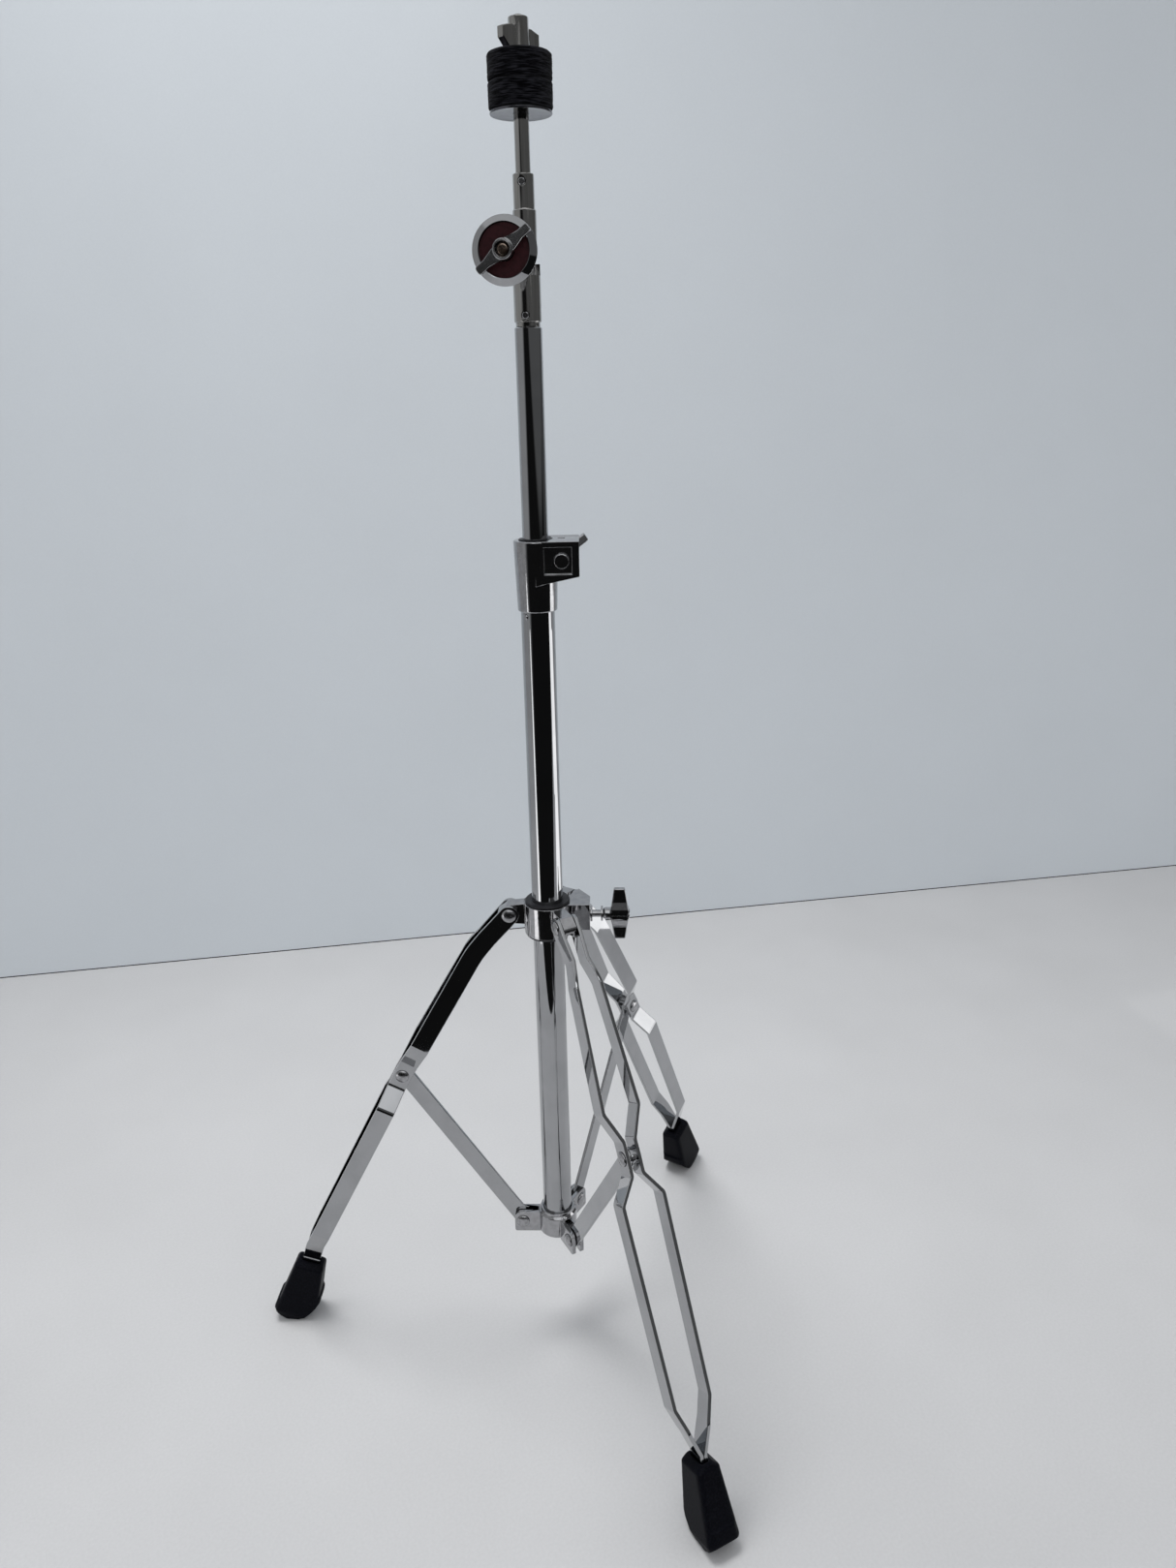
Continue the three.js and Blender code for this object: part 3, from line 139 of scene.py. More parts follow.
@dataclass(frozen=True)
class StandPlaces:
    """Where the stand's axis, legs and pins lie, each pin by its distance from the axis and its height."""

    axis_y: float = 61.8346
    collar_pin: Flat = (31.4, 419.0)
    brace_pin: Flat = (130.8, 264.5)
    foot_pin: Flat = (31.4, 110.0)
    leg_azimuths: tuple[float, ...] = (-90.0, 30.0, 150.0)

    def frame(self, azimuth: float = 0.0, reach: float = 0.0, height: float = 0.0) -> Matrix:
        """Return an upright frame about the tube's axis.

        Args:
            azimuth: Degrees that it is turned by.
            reach: How far it then lies from the axis, along its own +X.
            height: Its height above the floor.

        Returns:
            The frame in millimetres.
        """
        return moved(0.0, self.axis_y, 0.0) @ rotated(azimuth, "Z") @ moved(reach, 0.0, height)

    def leg_frame(self, number: int) -> Matrix:
        """Return the frame on the tube's axis with +X outwards along a leg, numbered from 1."""
        return self.frame(self.leg_azimuths[number - 1])

    def pin_frame(self, number: int, pin: Flat) -> Matrix:
        """Return a frame on one of a leg's pins, with +Z along the pin.

        Args:
            number: The leg, from 1 to 3.
            pin: The pin's distance from the tube's axis and its height.

        Returns:
            The pin's frame.
        """
        return self.frame(self.leg_azimuths[number - 1], *pin) @ rotated(-90.0, "X")


PLACES = StandPlaces()


# Modelling helpers


def primitive(name: str, add: Callable[..., object], **sizes: object) -> Piece:
    """Add one of Blender's primitives with nothing else selected.

    Args:
        name: Name of the new piece.
        add: The operator that adds it.
        sizes: What the operator is told.

    Returns:
        The new piece.
    """
    bpy.ops.object.select_all(action="DESELECT")
    add(**sizes)
    piece = bpy.context.active_object
    piece.name = name
    return piece


def linked(name: str, data: bpy.types.ID) -> Piece:
    """Put data into the scene.

    Args:
        name: Name of the new object.
        data: Its mesh, camera or light.

    Returns:
        The object.
    """
    made = bpy.data.objects.new(name, data)
    bpy.context.scene.collection.objects.link(made)
    return made


def face_outwards() -> None:
    """Turn the selected faces outwards."""
    bpy.ops.mesh.normals_make_consistent(inside=False)


class Bench:
    """The work bench: makes, shapes and mounts pieces with Blender's own operators."""

    merge_gap: float = 0.005
    flat_angle: float = 0.6
    seam_gap: float = 0.002
    sliver: float = 0.001
    flat_weight: int = 80

    def __init__(self, frame: dict) -> None:
        """Keep the loaded frame.
        """
        self.nodes: dict[str, Piece] = frame["nodes"]
        bodies = frame["record"]["behaviour"]["bodies"]
        self.body_of = {node: body for body, members in bodies.items() for node in members}

    @staticmethod
    def focus(piece: Piece) -> None:
        """Make one piece the only selected and the active one.

        Args:
            piece: The piece.
        """
        bpy.ops.object.select_all(action="DESELECT")
        piece.select_set(True)
        bpy.context.view_layer.objects.active = piece

    def edit(self, piece: Piece, *steps: Callable[[], object]) -> None:
        """Run edit-mode operators on the whole of a piece.

        Args:
            piece: The piece to shape.
            steps: Calls to run one after another with everything selected.
        """
        self.focus(piece)
        bpy.ops.object.mode_set(mode="EDIT")
        for step in steps:
            bpy.ops.mesh.select_all(action="SELECT")
            step()
        bpy.ops.object.mode_set(mode="OBJECT")

    def modify(self, piece: Piece, kind: str, **settings: object) -> None:
        """Give a piece a modifier and apply it.

        Args:
            piece: The piece.
            kind: The modifier's type.
            settings: The modifier's properties.
        """
        modifier = piece.modifiers.new(kind.lower(), kind)
        for key, value in settings.items():
            setattr(modifier, key, value)
        self.focus(piece)
        bpy.ops.object.modifier_apply(modifier=modifier.name)

    def copy_of(self, node: str, name: str) -> Piece:
        """Return a merged copy of a CAD node's mesh.

        Args:
            node: The CAD node.
            name: Name of the new piece.

        Returns:
            The copy, with doubled corners merged and flat faces joined.
        """
        mesh = self.nodes[node].data.copy()
        mesh.materials.clear()
        piece = linked(name, mesh)
        self.edit(
            piece,
            lambda: bpy.ops.mesh.remove_doubles(threshold=self.merge_gap * MM),
            lambda: bpy.ops.mesh.dissolve_limited(angle_limit=math.radians(self.flat_angle)),
        )
        if mesh.has_custom_normals:
            self.focus(piece)
            bpy.ops.mesh.customdata_custom_splitnormals_clear()
        return piece

    def turned(self, name: str, profile: Profile, place: Matrix, steps: int = 96, ring: Ring = Ring.OPEN) -> Piece:
        """Turn a profile round +Z of a frame, as on a lathe.

        Args:
            name: Name of the new piece.
            profile: Points as distance from the axis and height, in millimetres.
            place: The frame that the piece is turned in, in millimetres.
            steps: Faces round the axis.
            ring: Whether the profile's last point joins its first one.

        Returns:
            The closed, outward-facing piece at the origin.
        """
        piece = primitive(
            name, bpy.ops.mesh.primitive_circle_add, vertices=len(profile), radius=MM, fill_type="NOTHING"
        )
        for vertex, (radius, height) in zip(piece.data.vertices, profile):
            vertex.co = Vector((radius, 0.0, height)) * MM
        self.edit(
            piece,
            lambda: bpy.ops.mesh.spin(steps=steps, angle=TURN, center=(0.0, 0.0, 0.0), axis=(0.0, 0.0, 1.0)),
            lambda: bpy.ops.mesh.remove_doubles(threshold=self.seam_gap * MM),
            lambda: bpy.ops.mesh.dissolve_degenerate(threshold=self.sliver * MM),
            face_outwards,
        )
        if ring is Ring.OPEN:
            self.edit(piece, lambda: bpy.ops.mesh.fill_holes(sides=0), face_outwards)
        self.settle(piece, place)
        return piece

    def settle(self, piece: Piece, place: Matrix) -> None:
        """Move a piece into a frame and write that into its mesh.

        Args:
            piece: The piece.
            place: The frame in millimetres.
        """
        piece.matrix_world = metric(place) @ piece.matrix_world
        self.focus(piece)
        bpy.ops.object.transform_apply(location=True, rotation=True, scale=True)

    def ease_edges(self, piece: Piece, width: float, segments: int = 3, angle: float = 30.0) -> None:
        """Round the sharp edges of a piece.

        Args:
            piece: The piece.
            width: Width of the rounding in millimetres.
            segments: Faces across the rounding.
            angle: Smallest angle in degrees between faces that counts as an edge.
        """
        self.modify(
            piece,
            "BEVEL",
            width=width * MM,
            segments=segments,
            limit_method="ANGLE",
            angle_limit=math.radians(angle),
            use_clamp_overlap=False,
        )

    def smooth(self, piece: Piece, angle: float = 32.0) -> None:
        """Shade a piece smooth across its roundings, so that its flats still mirror as flats.

        Args:
            piece: The piece.
            angle: Largest angle in degrees between faces that are shaded as one.
        """
        self.focus(piece)
        bpy.ops.object.shade_smooth_by_angle(angle=math.radians(angle))
        self.modify(piece, "WEIGHTED_NORMAL", weight=self.flat_weight, keep_sharp=True)

    def combine(self, piece: Piece, other: Piece, way: Way) -> None:
        """Cut another piece's shape out of one, or join it on, and drop the other.

        Args:
            piece: The piece that stays.
            other: The piece that goes.
            way: Whether to cut or to join.
        """
        self.modify(piece, "BOOLEAN", operation=way.value, solver="EXACT", object=other)
        bpy.data.objects.remove(other)

    def drill(self, piece: Piece, radius: float, run: Flat, place: Matrix) -> None:
        """Drill a round hole along +Z of a frame.

        Args:
            piece: The piece to drill.
            radius: The hole's radius.
            run: Where the hole starts and ends.
            place: The frame.
        """
        low, high = run
        hole = [(0.0, low), (radius, low), (radius, high), (0.0, high)]
        self.combine(piece, self.turned("hole", hole, place, steps=48), Way.CUT)

    def mount(self, piece: Piece, node: str, finish: Finish) -> None:
        """Finish a piece and seat it on its body in place of a CAD node.

        Args:
            piece: The finished shape.
            node: The CAD node that it stands for.
            finish: Its finish.
        """
        piece.data.materials.clear()
        piece.data.materials.append(finish.material())
        body = self.body_of[node]
        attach(piece, body)
        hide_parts(node)
        LOG.info("%s: %d faces on %s", piece.name, len(piece.data.polygons), body)

    def dress(self, node: str, made: str, finish: Finish, edge: float = 0.0, segments: int = 3) -> None:
        """Round the edges of a copy of a CAD node and mount it.

        Args:
            node: The CAD node.
            made: How it is made, which ends the piece's name.
            finish: Its finish.
            edge: Width of the rounding in millimetres, zero for none.
            segments: Faces across the rounding.
        """
        piece = self.copy_of(node, f"{node}_{made}")
        if edge:
            self.ease_edges(piece, edge, segments)
        self.smooth(piece)
        self.mount(piece, node, finish)


# Finishes


class Tree:
    """A thin wrapper that adds, feeds and links shader nodes."""

    def __init__(self, tree: bpy.types.NodeTree) -> None:
        """Keep the tree that nodes are added to."""
        self.tree = tree

    def add(self, kind: str, *inputs: object, **values: object) -> bpy.types.Node:
        """Add a node and feed its inputs.

        Args:
            kind: The node's type name.
            inputs: A value or another node's output for each of the node's first inputs.
            values: Properties of the node by name, and values or outputs for its other inputs by their name, with
                underscores for spaces.

        Returns:
            The new node.
        """
        node = self.tree.nodes.new(kind)
        for key in [key for key in values if key in node.bl_rna.properties]:
            setattr(node, key, values.pop(key))
        for place, value in enumerate(inputs):
            self.feed(node.inputs[place], value)
        self.supply(node.name, **values)
        return node

    def supply(self, name: str, **values: object) -> None:
        """Feed inputs of a node in the tree.

        Args:
            name: The node's name.
            values: Values or outputs by the inputs' names, with underscores for spaces.
        """
        for key, value in values.items():
            self.feed(self.tree.nodes[name].inputs[key.replace("_", " ")], value)

    def feed(self, target: bpy.types.NodeSocket, value: object) -> None:
        """Link an output to an input, or set the input's value.

        Args:
            target: The input.
            value: The output, or the value.
        """
        if isinstance(value, bpy.types.NodeSocket):
            self.tree.links.new(value, target)
        else:
            target.default_value = value


def node_material(name: str) -> tuple[Material, Tree]:
    """Make a node material.

    Args:
        name: Its name.

    Returns:
        The material and its tree.
    """
    made = bpy.data.materials.new(name)
    made.use_nodes = True
    return made, Tree(made.node_tree)


def surface_group() -> bpy.types.NodeTree:
    """Return the group for fine handling marks, built once.

    Returns:
        A group with a roughness, a mask and a normal that vary over the surface.
    """
    found = bpy.data.node_groups.get("handling marks")
    if found:
        return found
    group = bpy.data.node_groups.new("handling marks", "ShaderNodeTree")
    for name in ("Scale", "Roughness", "Spread", "Relief", "Stretch"):
        group.interface.new_socket(name, in_out="INPUT", socket_type="NodeSocketFloat")
    for name, kind in (("Roughness", "Float"), ("Mask", "Float"), ("Normal", "Vector")):
        group.interface.new_socket(name, in_out="OUTPUT", socket_type=f"NodeSocket{kind}")
    tree = Tree(group)
    enter = tree.add("NodeGroupInput")
    place = tree.add("ShaderNodeTexCoord")
    stretch = tree.add("ShaderNodeCombineXYZ", 1.0, 1.0, enter.outputs["Stretch"])
    scaled = tree.add("ShaderNodeVectorMath", place.outputs["Object"], stretch.outputs[0], operation="MULTIPLY")
    noisy = tree.add("ShaderNodeTexNoise", Detail=MARK_DETAIL, Vector=scaled.outputs[0], Scale=enter.outputs["Scale"])
    marks = noisy.outputs["Fac"]
    centred = tree.add("ShaderNodeMath", marks, 0.5, operation="SUBTRACT")
    swing = tree.add("ShaderNodeMath", centred.outputs[0], enter.outputs["Spread"], operation="MULTIPLY")
    rough = tree.add(
        "ShaderNodeMath", swing.outputs[0], enter.outputs["Roughness"], operation="ADD", use_clamp=True
    )
    low, high = FLECK_EDGES
    mask = tree.add(
        "ShaderNodeMapRange", interpolation_type="SMOOTHSTEP", Value=marks, From_Min=low, From_Max=high
    )
    bump = tree.add("ShaderNodeBump", Strength=enter.outputs["Relief"], Distance=MARK_DEPTH, Height=marks)
    tree.add(
        "NodeGroupOutput",
        Roughness=rough.outputs[0],
        Mask=mask.outputs["Result"],
        Normal=bump.outputs["Normal"],
    )
    return group


@dataclass(frozen=True)
class Finish:
    """A finish with its slot, a base colour, a darker fleck colour and its handling marks."""

    name: str
    slot: Slot
    colour: Point
    fleck: Point
    metallic: float = 0.0
    roughness: float = 0.5
    spread: float = 0.1
    relief: float = 0.0
    scale: float = 60.0
    stretch: float = 1.0
    sheen: float = 0.0
    specular: float = 0.5

    def material(self) -> Material:
        """Return the finish as a node material, built once.

        Returns:
            The material.
        """
        found = bpy.data.materials.get(self.name)
        if found:
            return found
        made, tree = node_material(self.name)
        marks = tree.add(
            "ShaderNodeGroup",
            node_tree=surface_group(),
            Scale=self.scale,
            Roughness=self.roughness,
            Spread=self.spread,
            Relief=self.relief,
            Stretch=self.stretch,
        )
        blend = tree.add(
            "ShaderNodeMix",
            data_type="RGBA",
            Factor=marks.outputs["Mask"],
            A=(*self.colour, 1.0),
            B=(*self.fleck, 1.0),
        )
        tree.supply(
            SHADER,
            Base_Color=blend.outputs["Result"],
            Roughness=marks.outputs["Roughness"],
            Metallic=self.metallic,
            Sheen_Weight=self.sheen,
            Specular_IOR_Level=self.specular,
        )
        if self.relief:
            tree.supply(SHADER, Normal=marks.outputs["Normal"])
        return made


CHROME = Finish(
    "mirror chrome", Slot.CHROME, (0.41, 0.415, 0.425), (0.375, 0.38, 0.39), 1.0, 0.03, spread=0.03, scale=35.0
)
CASTING = Finish(
    "chromed casting", Slot.CHROME, (0.41, 0.41, 0.42), (0.35, 0.35, 0.36), 1.0, 0.075, 0.06, 0.06, 220.0
)
DRAWN = Finish(
    "streaked casting",
    Slot.CHROME,
    (0.40, 0.395, 0.385),
    (0.33, 0.325, 0.31),
    metallic=1.0,
    roughness=0.08,
    spread=0.06,
    relief=0.16,
    scale=700.0,
    stretch=0.03,
)
SATIN = Finish("satin casting", Slot.CHROME, (0.36, 0.36, 0.365), (0.28, 0.28, 0.285), 1.0, 0.24, 0.1, 0.08, 260.0)
STUD = Finish("worn stud", Slot.STEEL, (0.30, 0.235, 0.19), (0.13, 0.09, 0.07), 1.0, 0.26, 0.2, 0.2, 420.0)
CUP = Finish("darkened washer", Slot.CHROME, (0.13, 0.13, 0.145), (0.09, 0.09, 0.10), 1.0, 0.12, 0.08, 0.05, 240.0)
STEEL = Finish("plated steel", Slot.STEEL, (0.42, 0.42, 0.43), (0.30, 0.30, 0.31), 1.0, 0.2, 0.2, 0.1, 300.0)
NYLON = Finish(
    "black nylon",
    Slot.NYLON,
    (0.006, 0.006, 0.008),
    (0.012, 0.012, 0.014),
    roughness=0.4,
    spread=0.2,
    relief=0.15,
    scale=500.0,
    specular=0.3,
)
RUBBER = Finish(
    "boot rubber",
    Slot.RUBBER,
    (0.0018, 0.002, 0.004),
    (0.0055, 0.006, 0.009),
    roughness=0.42,
    spread=0.3,
    relief=0.3,
    scale=700.0,
    specular=0.05,
)
FELT = Finish(
    "pressed felt",
    Slot.FELT,
    (0.0006, 0.0006, 0.0012),
    (0.021, 0.021, 0.026),
    roughness=0.95,
    relief=1.0,
    scale=130.0,
    stretch=13.0,
    sheen=0.04,
    specular=0.04,
)
DISC = Finish(
    "burgundy disc",
    Slot.DISC,
    (0.050, 0.013, 0.016),
    (0.034, 0.009, 0.011),
    metallic=0.2,
    roughness=0.32,
    spread=0.2,
    relief=0.12,
    scale=420.0,
    specular=0.3,
)


# Studio


@dataclass(frozen=True)
class Patch:
    """A bright patch of the room round the stand, as angles in degrees and a level."""

    azimuth: float
    height: float
    inner: float
    outer: float
    level: float


ROOM_PATCHES = (
    Patch(-130.0, 25.0, 74.0, 92.0, 0.4),
    Patch(140.0, 0.0, 42.0, 56.0, 0.09),
    Patch(55.0, 70.0, 74.0, 78.0, 0.13),
    Patch(34.0, 6.0, 1.5, 3.0, 0.42),
    Patch(8.0, 50.0, 25.0, 31.0, 1.1),
    Patch(0.0, 90.0, 40.0, 54.0, 0.65),
    Patch(-14.0, 27.0, 3.0, 5.0, 3.0),
    Patch(48.0, 34.0, 3.0, 5.0, 2.5),
)


@dataclass(frozen=True)
class FloorBoard:
    """A bright board that lies on the floor, pointing away from the stand."""

    name: str
    azimuth: float
    spread: float
    start: float
    end: float = 3200.0
    lift: float = 4.0


@dataclass
class Studio:
    """Camera, floor, wall, reflection boards, world and lamp."""

    focal_share: float = 1150.0 / 1619.0
    sensor: float = 36.0
    clip: Flat = (0.01, 50.0)
    tilt: float = 19.43
    roll: float = -1.12
    yaw: float = 2.42
    distance: float = 830.6
    height: float = 821.9
    heading: float = 25.64
    wall_distance: float = 810.0
    wall_turn: float = 7.2
    wall_half: Flat = (1400.0, 1200.0)
    # height of the near-black strip of painted shade at the wall's foot
    wall_gap_shade: float = 1.6
    gap_proud: float = 1.0
    floor_half: float = 4000.0
    floor_front: float = 560.0
    floor_colour: Point = (0.585, 0.585, 0.59)
    wall_colour: Point = (0.71, 0.75, 0.785)
    # near-black colour of the strip at the wall's foot: painted shade of the gap, not a colour of the wall
    gap_shade_colour: Point = (0.02, 0.02, 0.02)
    floor_speckle: float = 0.05
    wall_speckle: float = 0.02
    speckle_scales: Flat = (420.0, 5.0)
    speckle_detail: float = 3.0
    speckle_range: Flat = (0.3, 0.7)
    matt_roughness: float = 0.9
    matt_specular: float = 0.1
    even_light: Point = (0.64, 0.65, 0.665)
    backdrop_colour: Point = (0.58, 0.61, 0.64)
    patch_tint: Point = (0.97, 0.985, 1.0)
    gloom: float = 0.01
    lamp_place: Point = (-450.0, 350.0, 2300.0)
    lamp_target: Point = (0.0, 0.0, 300.0)
    lamp_size: float = 900.0
    lamp_power: float = 10.5
    lamp_spread: float = 110.0
    board_light: float = 2.0
    door_azimuth: float = 88.0
    door_distance: float = 900.0
    door_width: float = 290.0
    door_heights: Flat = (200.0, 600.0)
    boards: tuple[FloorBoard, ...] = (FloorBoard("left", -60.0, 8.0, 760.0), FloorBoard("right", 100.0, 20.0, 880.0))
    patches: tuple[Patch, ...] = ROOM_PATCHES

    def towards_camera(self) -> Matrix:
        """Return the frame on the tube's axis whose -Y points at the camera, in millimetres."""
        return PLACES.frame(-self.heading)

    def camera(self) -> None:
        """Place the camera as the photograph was taken."""
        data = bpy.data.cameras.new("camera")
        data.sensor_width = self.sensor
        data.lens = self.sensor * self.focal_share
        data.clip_start, data.clip_end = self.clip
        camera = linked("camera", data)
        tilt, yaw, roll = (math.radians(a) for a in (self.tilt, self.yaw, self.roll))
        forward = Vector((math.sin(yaw) * math.cos(tilt), math.cos(yaw) * math.cos(tilt), -math.sin(tilt)))
        right = Vector((math.cos(yaw), -math.sin(yaw), 0.0))
        down = forward.cross(right)
        across = right * math.cos(roll) - down * math.sin(roll)
        up = -(right * math.sin(roll) + down * math.cos(roll))
        turn = Matrix((across, up, -forward)).transposed().to_4x4()
        camera.matrix_world = metric(self.towards_camera() @ moved(0.0, -self.distance, self.height) @ turn)
        bpy.context.scene.camera = camera

    def sheet(self, name: str, half: Flat, place: Matrix, material: Material) -> Piece:
        """Add a flat stage sheet.

        Args:
            name: Its name.
            half: Half its width and half its height, in millimetres.
            place: Its frame in millimetres, with the sheet across +Z.
            material: Its finish.

        Returns:
            The sheet.
        """
        piece = primitive(f"studio_{name}", bpy.ops.mesh.primitive_plane_add, size=2.0)
        piece.matrix_world = metric(place) @ Matrix.Diagonal((half[0] * MM, half[1] * MM, 1.0, 1.0))
        piece.data.materials.append(material)
        return piece

    def matt(self, name: str, colour: Point, speckle: float) -> Material:
        """Return a matt stage material with faint speckles.

        Args:
            name: Its name.
            colour: Its colour.
            speckle: How strongly the speckles lighten and darken it.

        Returns:
            The material.
        """
        made, tree = node_material(name)
        position = tree.add("ShaderNodeNewGeometry").outputs["Position"]
        fine, broad = (
            tree.add("ShaderNodeTexNoise", Vector=position, Scale=scale, Detail=self.speckle_detail).outputs["Fac"]
            for scale in self.speckle_scales
        )
        mixed = tree.add("ShaderNodeMix", data_type="FLOAT", Factor=0.5, A=fine, B=broad)
        level = tree.add(
            "ShaderNodeMapRange",
            Value=mixed.outputs["Result"],
            From_Min=self.speckle_range[0],
            From_Max=self.speckle_range[1],
            To_Min=1.0 - speckle,
            To_Max=1.0 + speckle,
        )
        shade = tree.add("ShaderNodeVectorMath", colour, operation="SCALE", Scale=level.outputs["Result"])
        tree.supply(
            SHADER,
            Base_Color=shade.outputs[0],
            Roughness=self.matt_roughness,
            Specular_IOR_Level=self.matt_specular,
        )
        return made

    @staticmethod
    def one_sided(material: Material) -> Material:
        """Clear a stage material's back, so that its sheet hides nothing from behind.

        Args:
            material: The stage material.

        Returns:
            The same material.
        """
        tree = Tree(material.node_tree)
        back = tree.add("ShaderNodeNewGeometry").outputs["Backfacing"]
        clear = tree.add("ShaderNodeBsdfTransparent")
        shader = tree.tree.nodes[SHADER]
        mixed = tree.add("ShaderNodeMixShader", back, shader.outputs[0], clear.outputs[0])
        tree.supply(OUTPUT, Surface=mixed.outputs[0])
        return material

    def floor(self) -> None:
        """Lay the floor in two halves, of which the chrome mirrors only the one under the stand."""
        ground = self.matt("studio floor", self.floor_colour, self.floor_speckle)
        half = self.floor_half
        for name, side in (("floor", 1.0), ("floor_front", -1.0)):
            place = self.towards_camera() @ moved(0.0, side * half - self.floor_front, 0.0)
            self.sheet(name, (half, half), place, ground).visible_glossy = side > 0.0

    def wall(self) -> None:
        """Raise the wall, with a near-black strip at its foot as painted shade in the gap where the wall meets the
        floor.
        """
        foot = self.towards_camera() @ moved(0.0, self.wall_distance, 0.0) @ rotated(self.wall_turn, "Z")
        width, height = self.wall_half
        paint = self.one_sided(self.matt("studio wall", self.wall_colour, self.wall_speckle))
        self.sheet("wall", (width, height), foot @ moved(0.0, 0.0, height) @ rotated(90.0, "X"), paint)
        half_gap = self.wall_gap_shade / 2.0
        place = foot @ moved(0.0, -self.gap_proud, half_gap) @ rotated(90.0, "X")
        # painted shade: a near-black sheet just in front of the wall's foot stands for the shadow in the gap
        dark = self.one_sided(self.matt("studio wall gap shade", self.gap_shade_colour, 0.0))
        self.sheet("wall_gap_shade", (width, half_gap), place, dark)

    def reflections(self) -> None:
        """Set out the bright boards that show in reflections alone."""
        white, tree = node_material("window light")
        light = tree.add("ShaderNodeEmission", Color=(1.0, 1.0, 1.0, 1.0), Strength=self.board_light)
        tree.supply(OUTPUT, Surface=light.outputs[0])
        tree.tree.nodes.remove(tree.tree.nodes[SHADER])
        view = self.towards_camera()
        sheets = []
        for board in self.boards:
            middle = (board.start + board.end) / 2.0
            half = ((board.end - board.start) / 2.0, math.tan(math.radians(board.spread)) * middle / 2.0)
            place = view @ rotated(board.azimuth - 90.0, "Z") @ moved(middle, 0.0, board.lift)
            sheets.append(self.sheet(f"board_{board.name}", half, place, white))
        low, high = self.door_heights
        upright = moved(0.0, -self.door_distance, (low + high) / 2.0) @ rotated(90.0, "X")
        half = (self.door_width / 2.0, (high - low) / 2.0)
        sheets.append(self.sheet("board_door", half, view @ rotated(self.door_azimuth, "Z") @ upright, white))
        for piece in sheets:
            piece.visible_camera = False
            piece.visible_diffuse = False
            piece.visible_shadow = False

    def direction(self, azimuth: float, height: float) -> Vector:
        """Return a direction as seen from the stand.

        Args:
            azimuth: Degrees rightwards from the camera's side.
            height: Degrees above the horizon.

        Returns:
            The direction, of length one.
        """
        level = Matrix.Rotation(math.radians(azimuth), 3, "Z") @ Vector((0.0, -1.0, 0.0))
        rise = math.radians(height)
        tilted = level * math.cos(rise) + Vector((0.0, 0.0, math.sin(rise)))
        return self.towards_camera().to_3x3() @ tilted

    def world(self) -> None:
        """Give the room an even light, a pale backdrop, and bright patches that the chrome mirrors."""
        world = bpy.data.worlds.new("studio")
        world.use_nodes = True
        bpy.context.scene.world = world
        tree = Tree(world.node_tree)
        path = tree.add("ShaderNodeLightPath")
        around = tree.add("ShaderNodeTexCoord").outputs["Generated"]
        level: bpy.types.NodeSocket | None = None
        for patch in self.patches:
            centre = self.direction(patch.azimuth, patch.height)
            near = tree.add("ShaderNodeVectorMath", around, centre, operation="DOT_PRODUCT")
            fade = tree.add(
                "ShaderNodeMapRange",
                interpolation_type="SMOOTHSTEP",
                Value=near.outputs["Value"],
                From_Min=math.cos(math.radians(patch.outer)),
                From_Max=math.cos(math.radians(patch.inner)),
                To_Min=self.gloom,
                To_Max=patch.level,
            ).outputs["Result"]
            level = tree.add("ShaderNodeMath", level, fade, operation="MAXIMUM").outputs[0] if level else fade
        tinted = tree.add("ShaderNodeVectorMath", self.patch_tint, operation="SCALE", Scale=level)
        mirrored, seen = path.outputs["Is Glossy Ray"], path.outputs["Is Camera Ray"]
        even, backdrop = (*self.even_light, 1.0), (*self.backdrop_colour, 1.0)
        lit = tree.add("ShaderNodeMix", data_type="RGBA", Factor=mirrored, A=even, B=tinted.outputs[0])
        shown = tree.add("ShaderNodeMix", data_type="RGBA", Factor=seen, A=lit.outputs["Result"], B=backdrop)
        tree.supply("Background", Color=shown.outputs["Result"])

    def lamp(self) -> None:
        """Hang the soft lamp that looks at the stand."""
        data = bpy.data.lights.new("key", "AREA")
        data.shape = "DISK"
        data.size = self.lamp_size * MM
        data.energy = self.lamp_power
        data.spread = math.radians(self.lamp_spread)
        lamp = linked("key", data)
        spot = self.towards_camera() @ Vector(self.lamp_place)
        target = self.towards_camera() @ Vector(self.lamp_target)
        turn = (target - spot).to_track_quat("-Z", "Y").to_matrix().to_4x4()
        lamp.matrix_world = Matrix.Translation(spot * MM) @ turn
        lamp.visible_glossy = False

    def build(self) -> None:
        """Set up the whole studio."""
        self.camera()
        self.floor()
        self.wall()
        self.reflections()
        self.world()
        self.lamp()
        bpy.context.scene.view_settings.view_transform = "Standard"


# Tripod


def fillet(corners: Profile, radii: Sequence[float], steps: int) -> list[Flat]:
    """Round the inner corners of an open line with arcs.

    Args:
        corners: The line's corners.
        radii: A radius for every corner, zero to keep it sharp.
        steps: Chords in each arc.

    Returns:
        The points of the rounded line.
    """
    points: list[Flat] = [tuple(corners[0])]
    for before, corner, after, radius in zip(corners, corners[1:], corners[2:], radii[1:]):
        here = Vector(corner)
        inward, outward = Vector(before) - here, Vector(after) - here
        bend = math.pi - inward.angle(outward)
        cut = min(radius * math.tan(bend / 2.0), ARC_SHARE * inward.length, ARC_SHARE * outward.length)
        if cut <= 0.0:
            points.append(tuple(corner))
            continue
        start, end = here + inward.normalized() * cut, here + outward.normalized() * cut
        for share in np.linspace(0.0, 1.0, steps + 1):
            first, second = start.lerp(here, share), here.lerp(end, share)
            points.append(tuple(first.lerp(second, share)))
    points.append(tuple(corners[-1]))
    return points


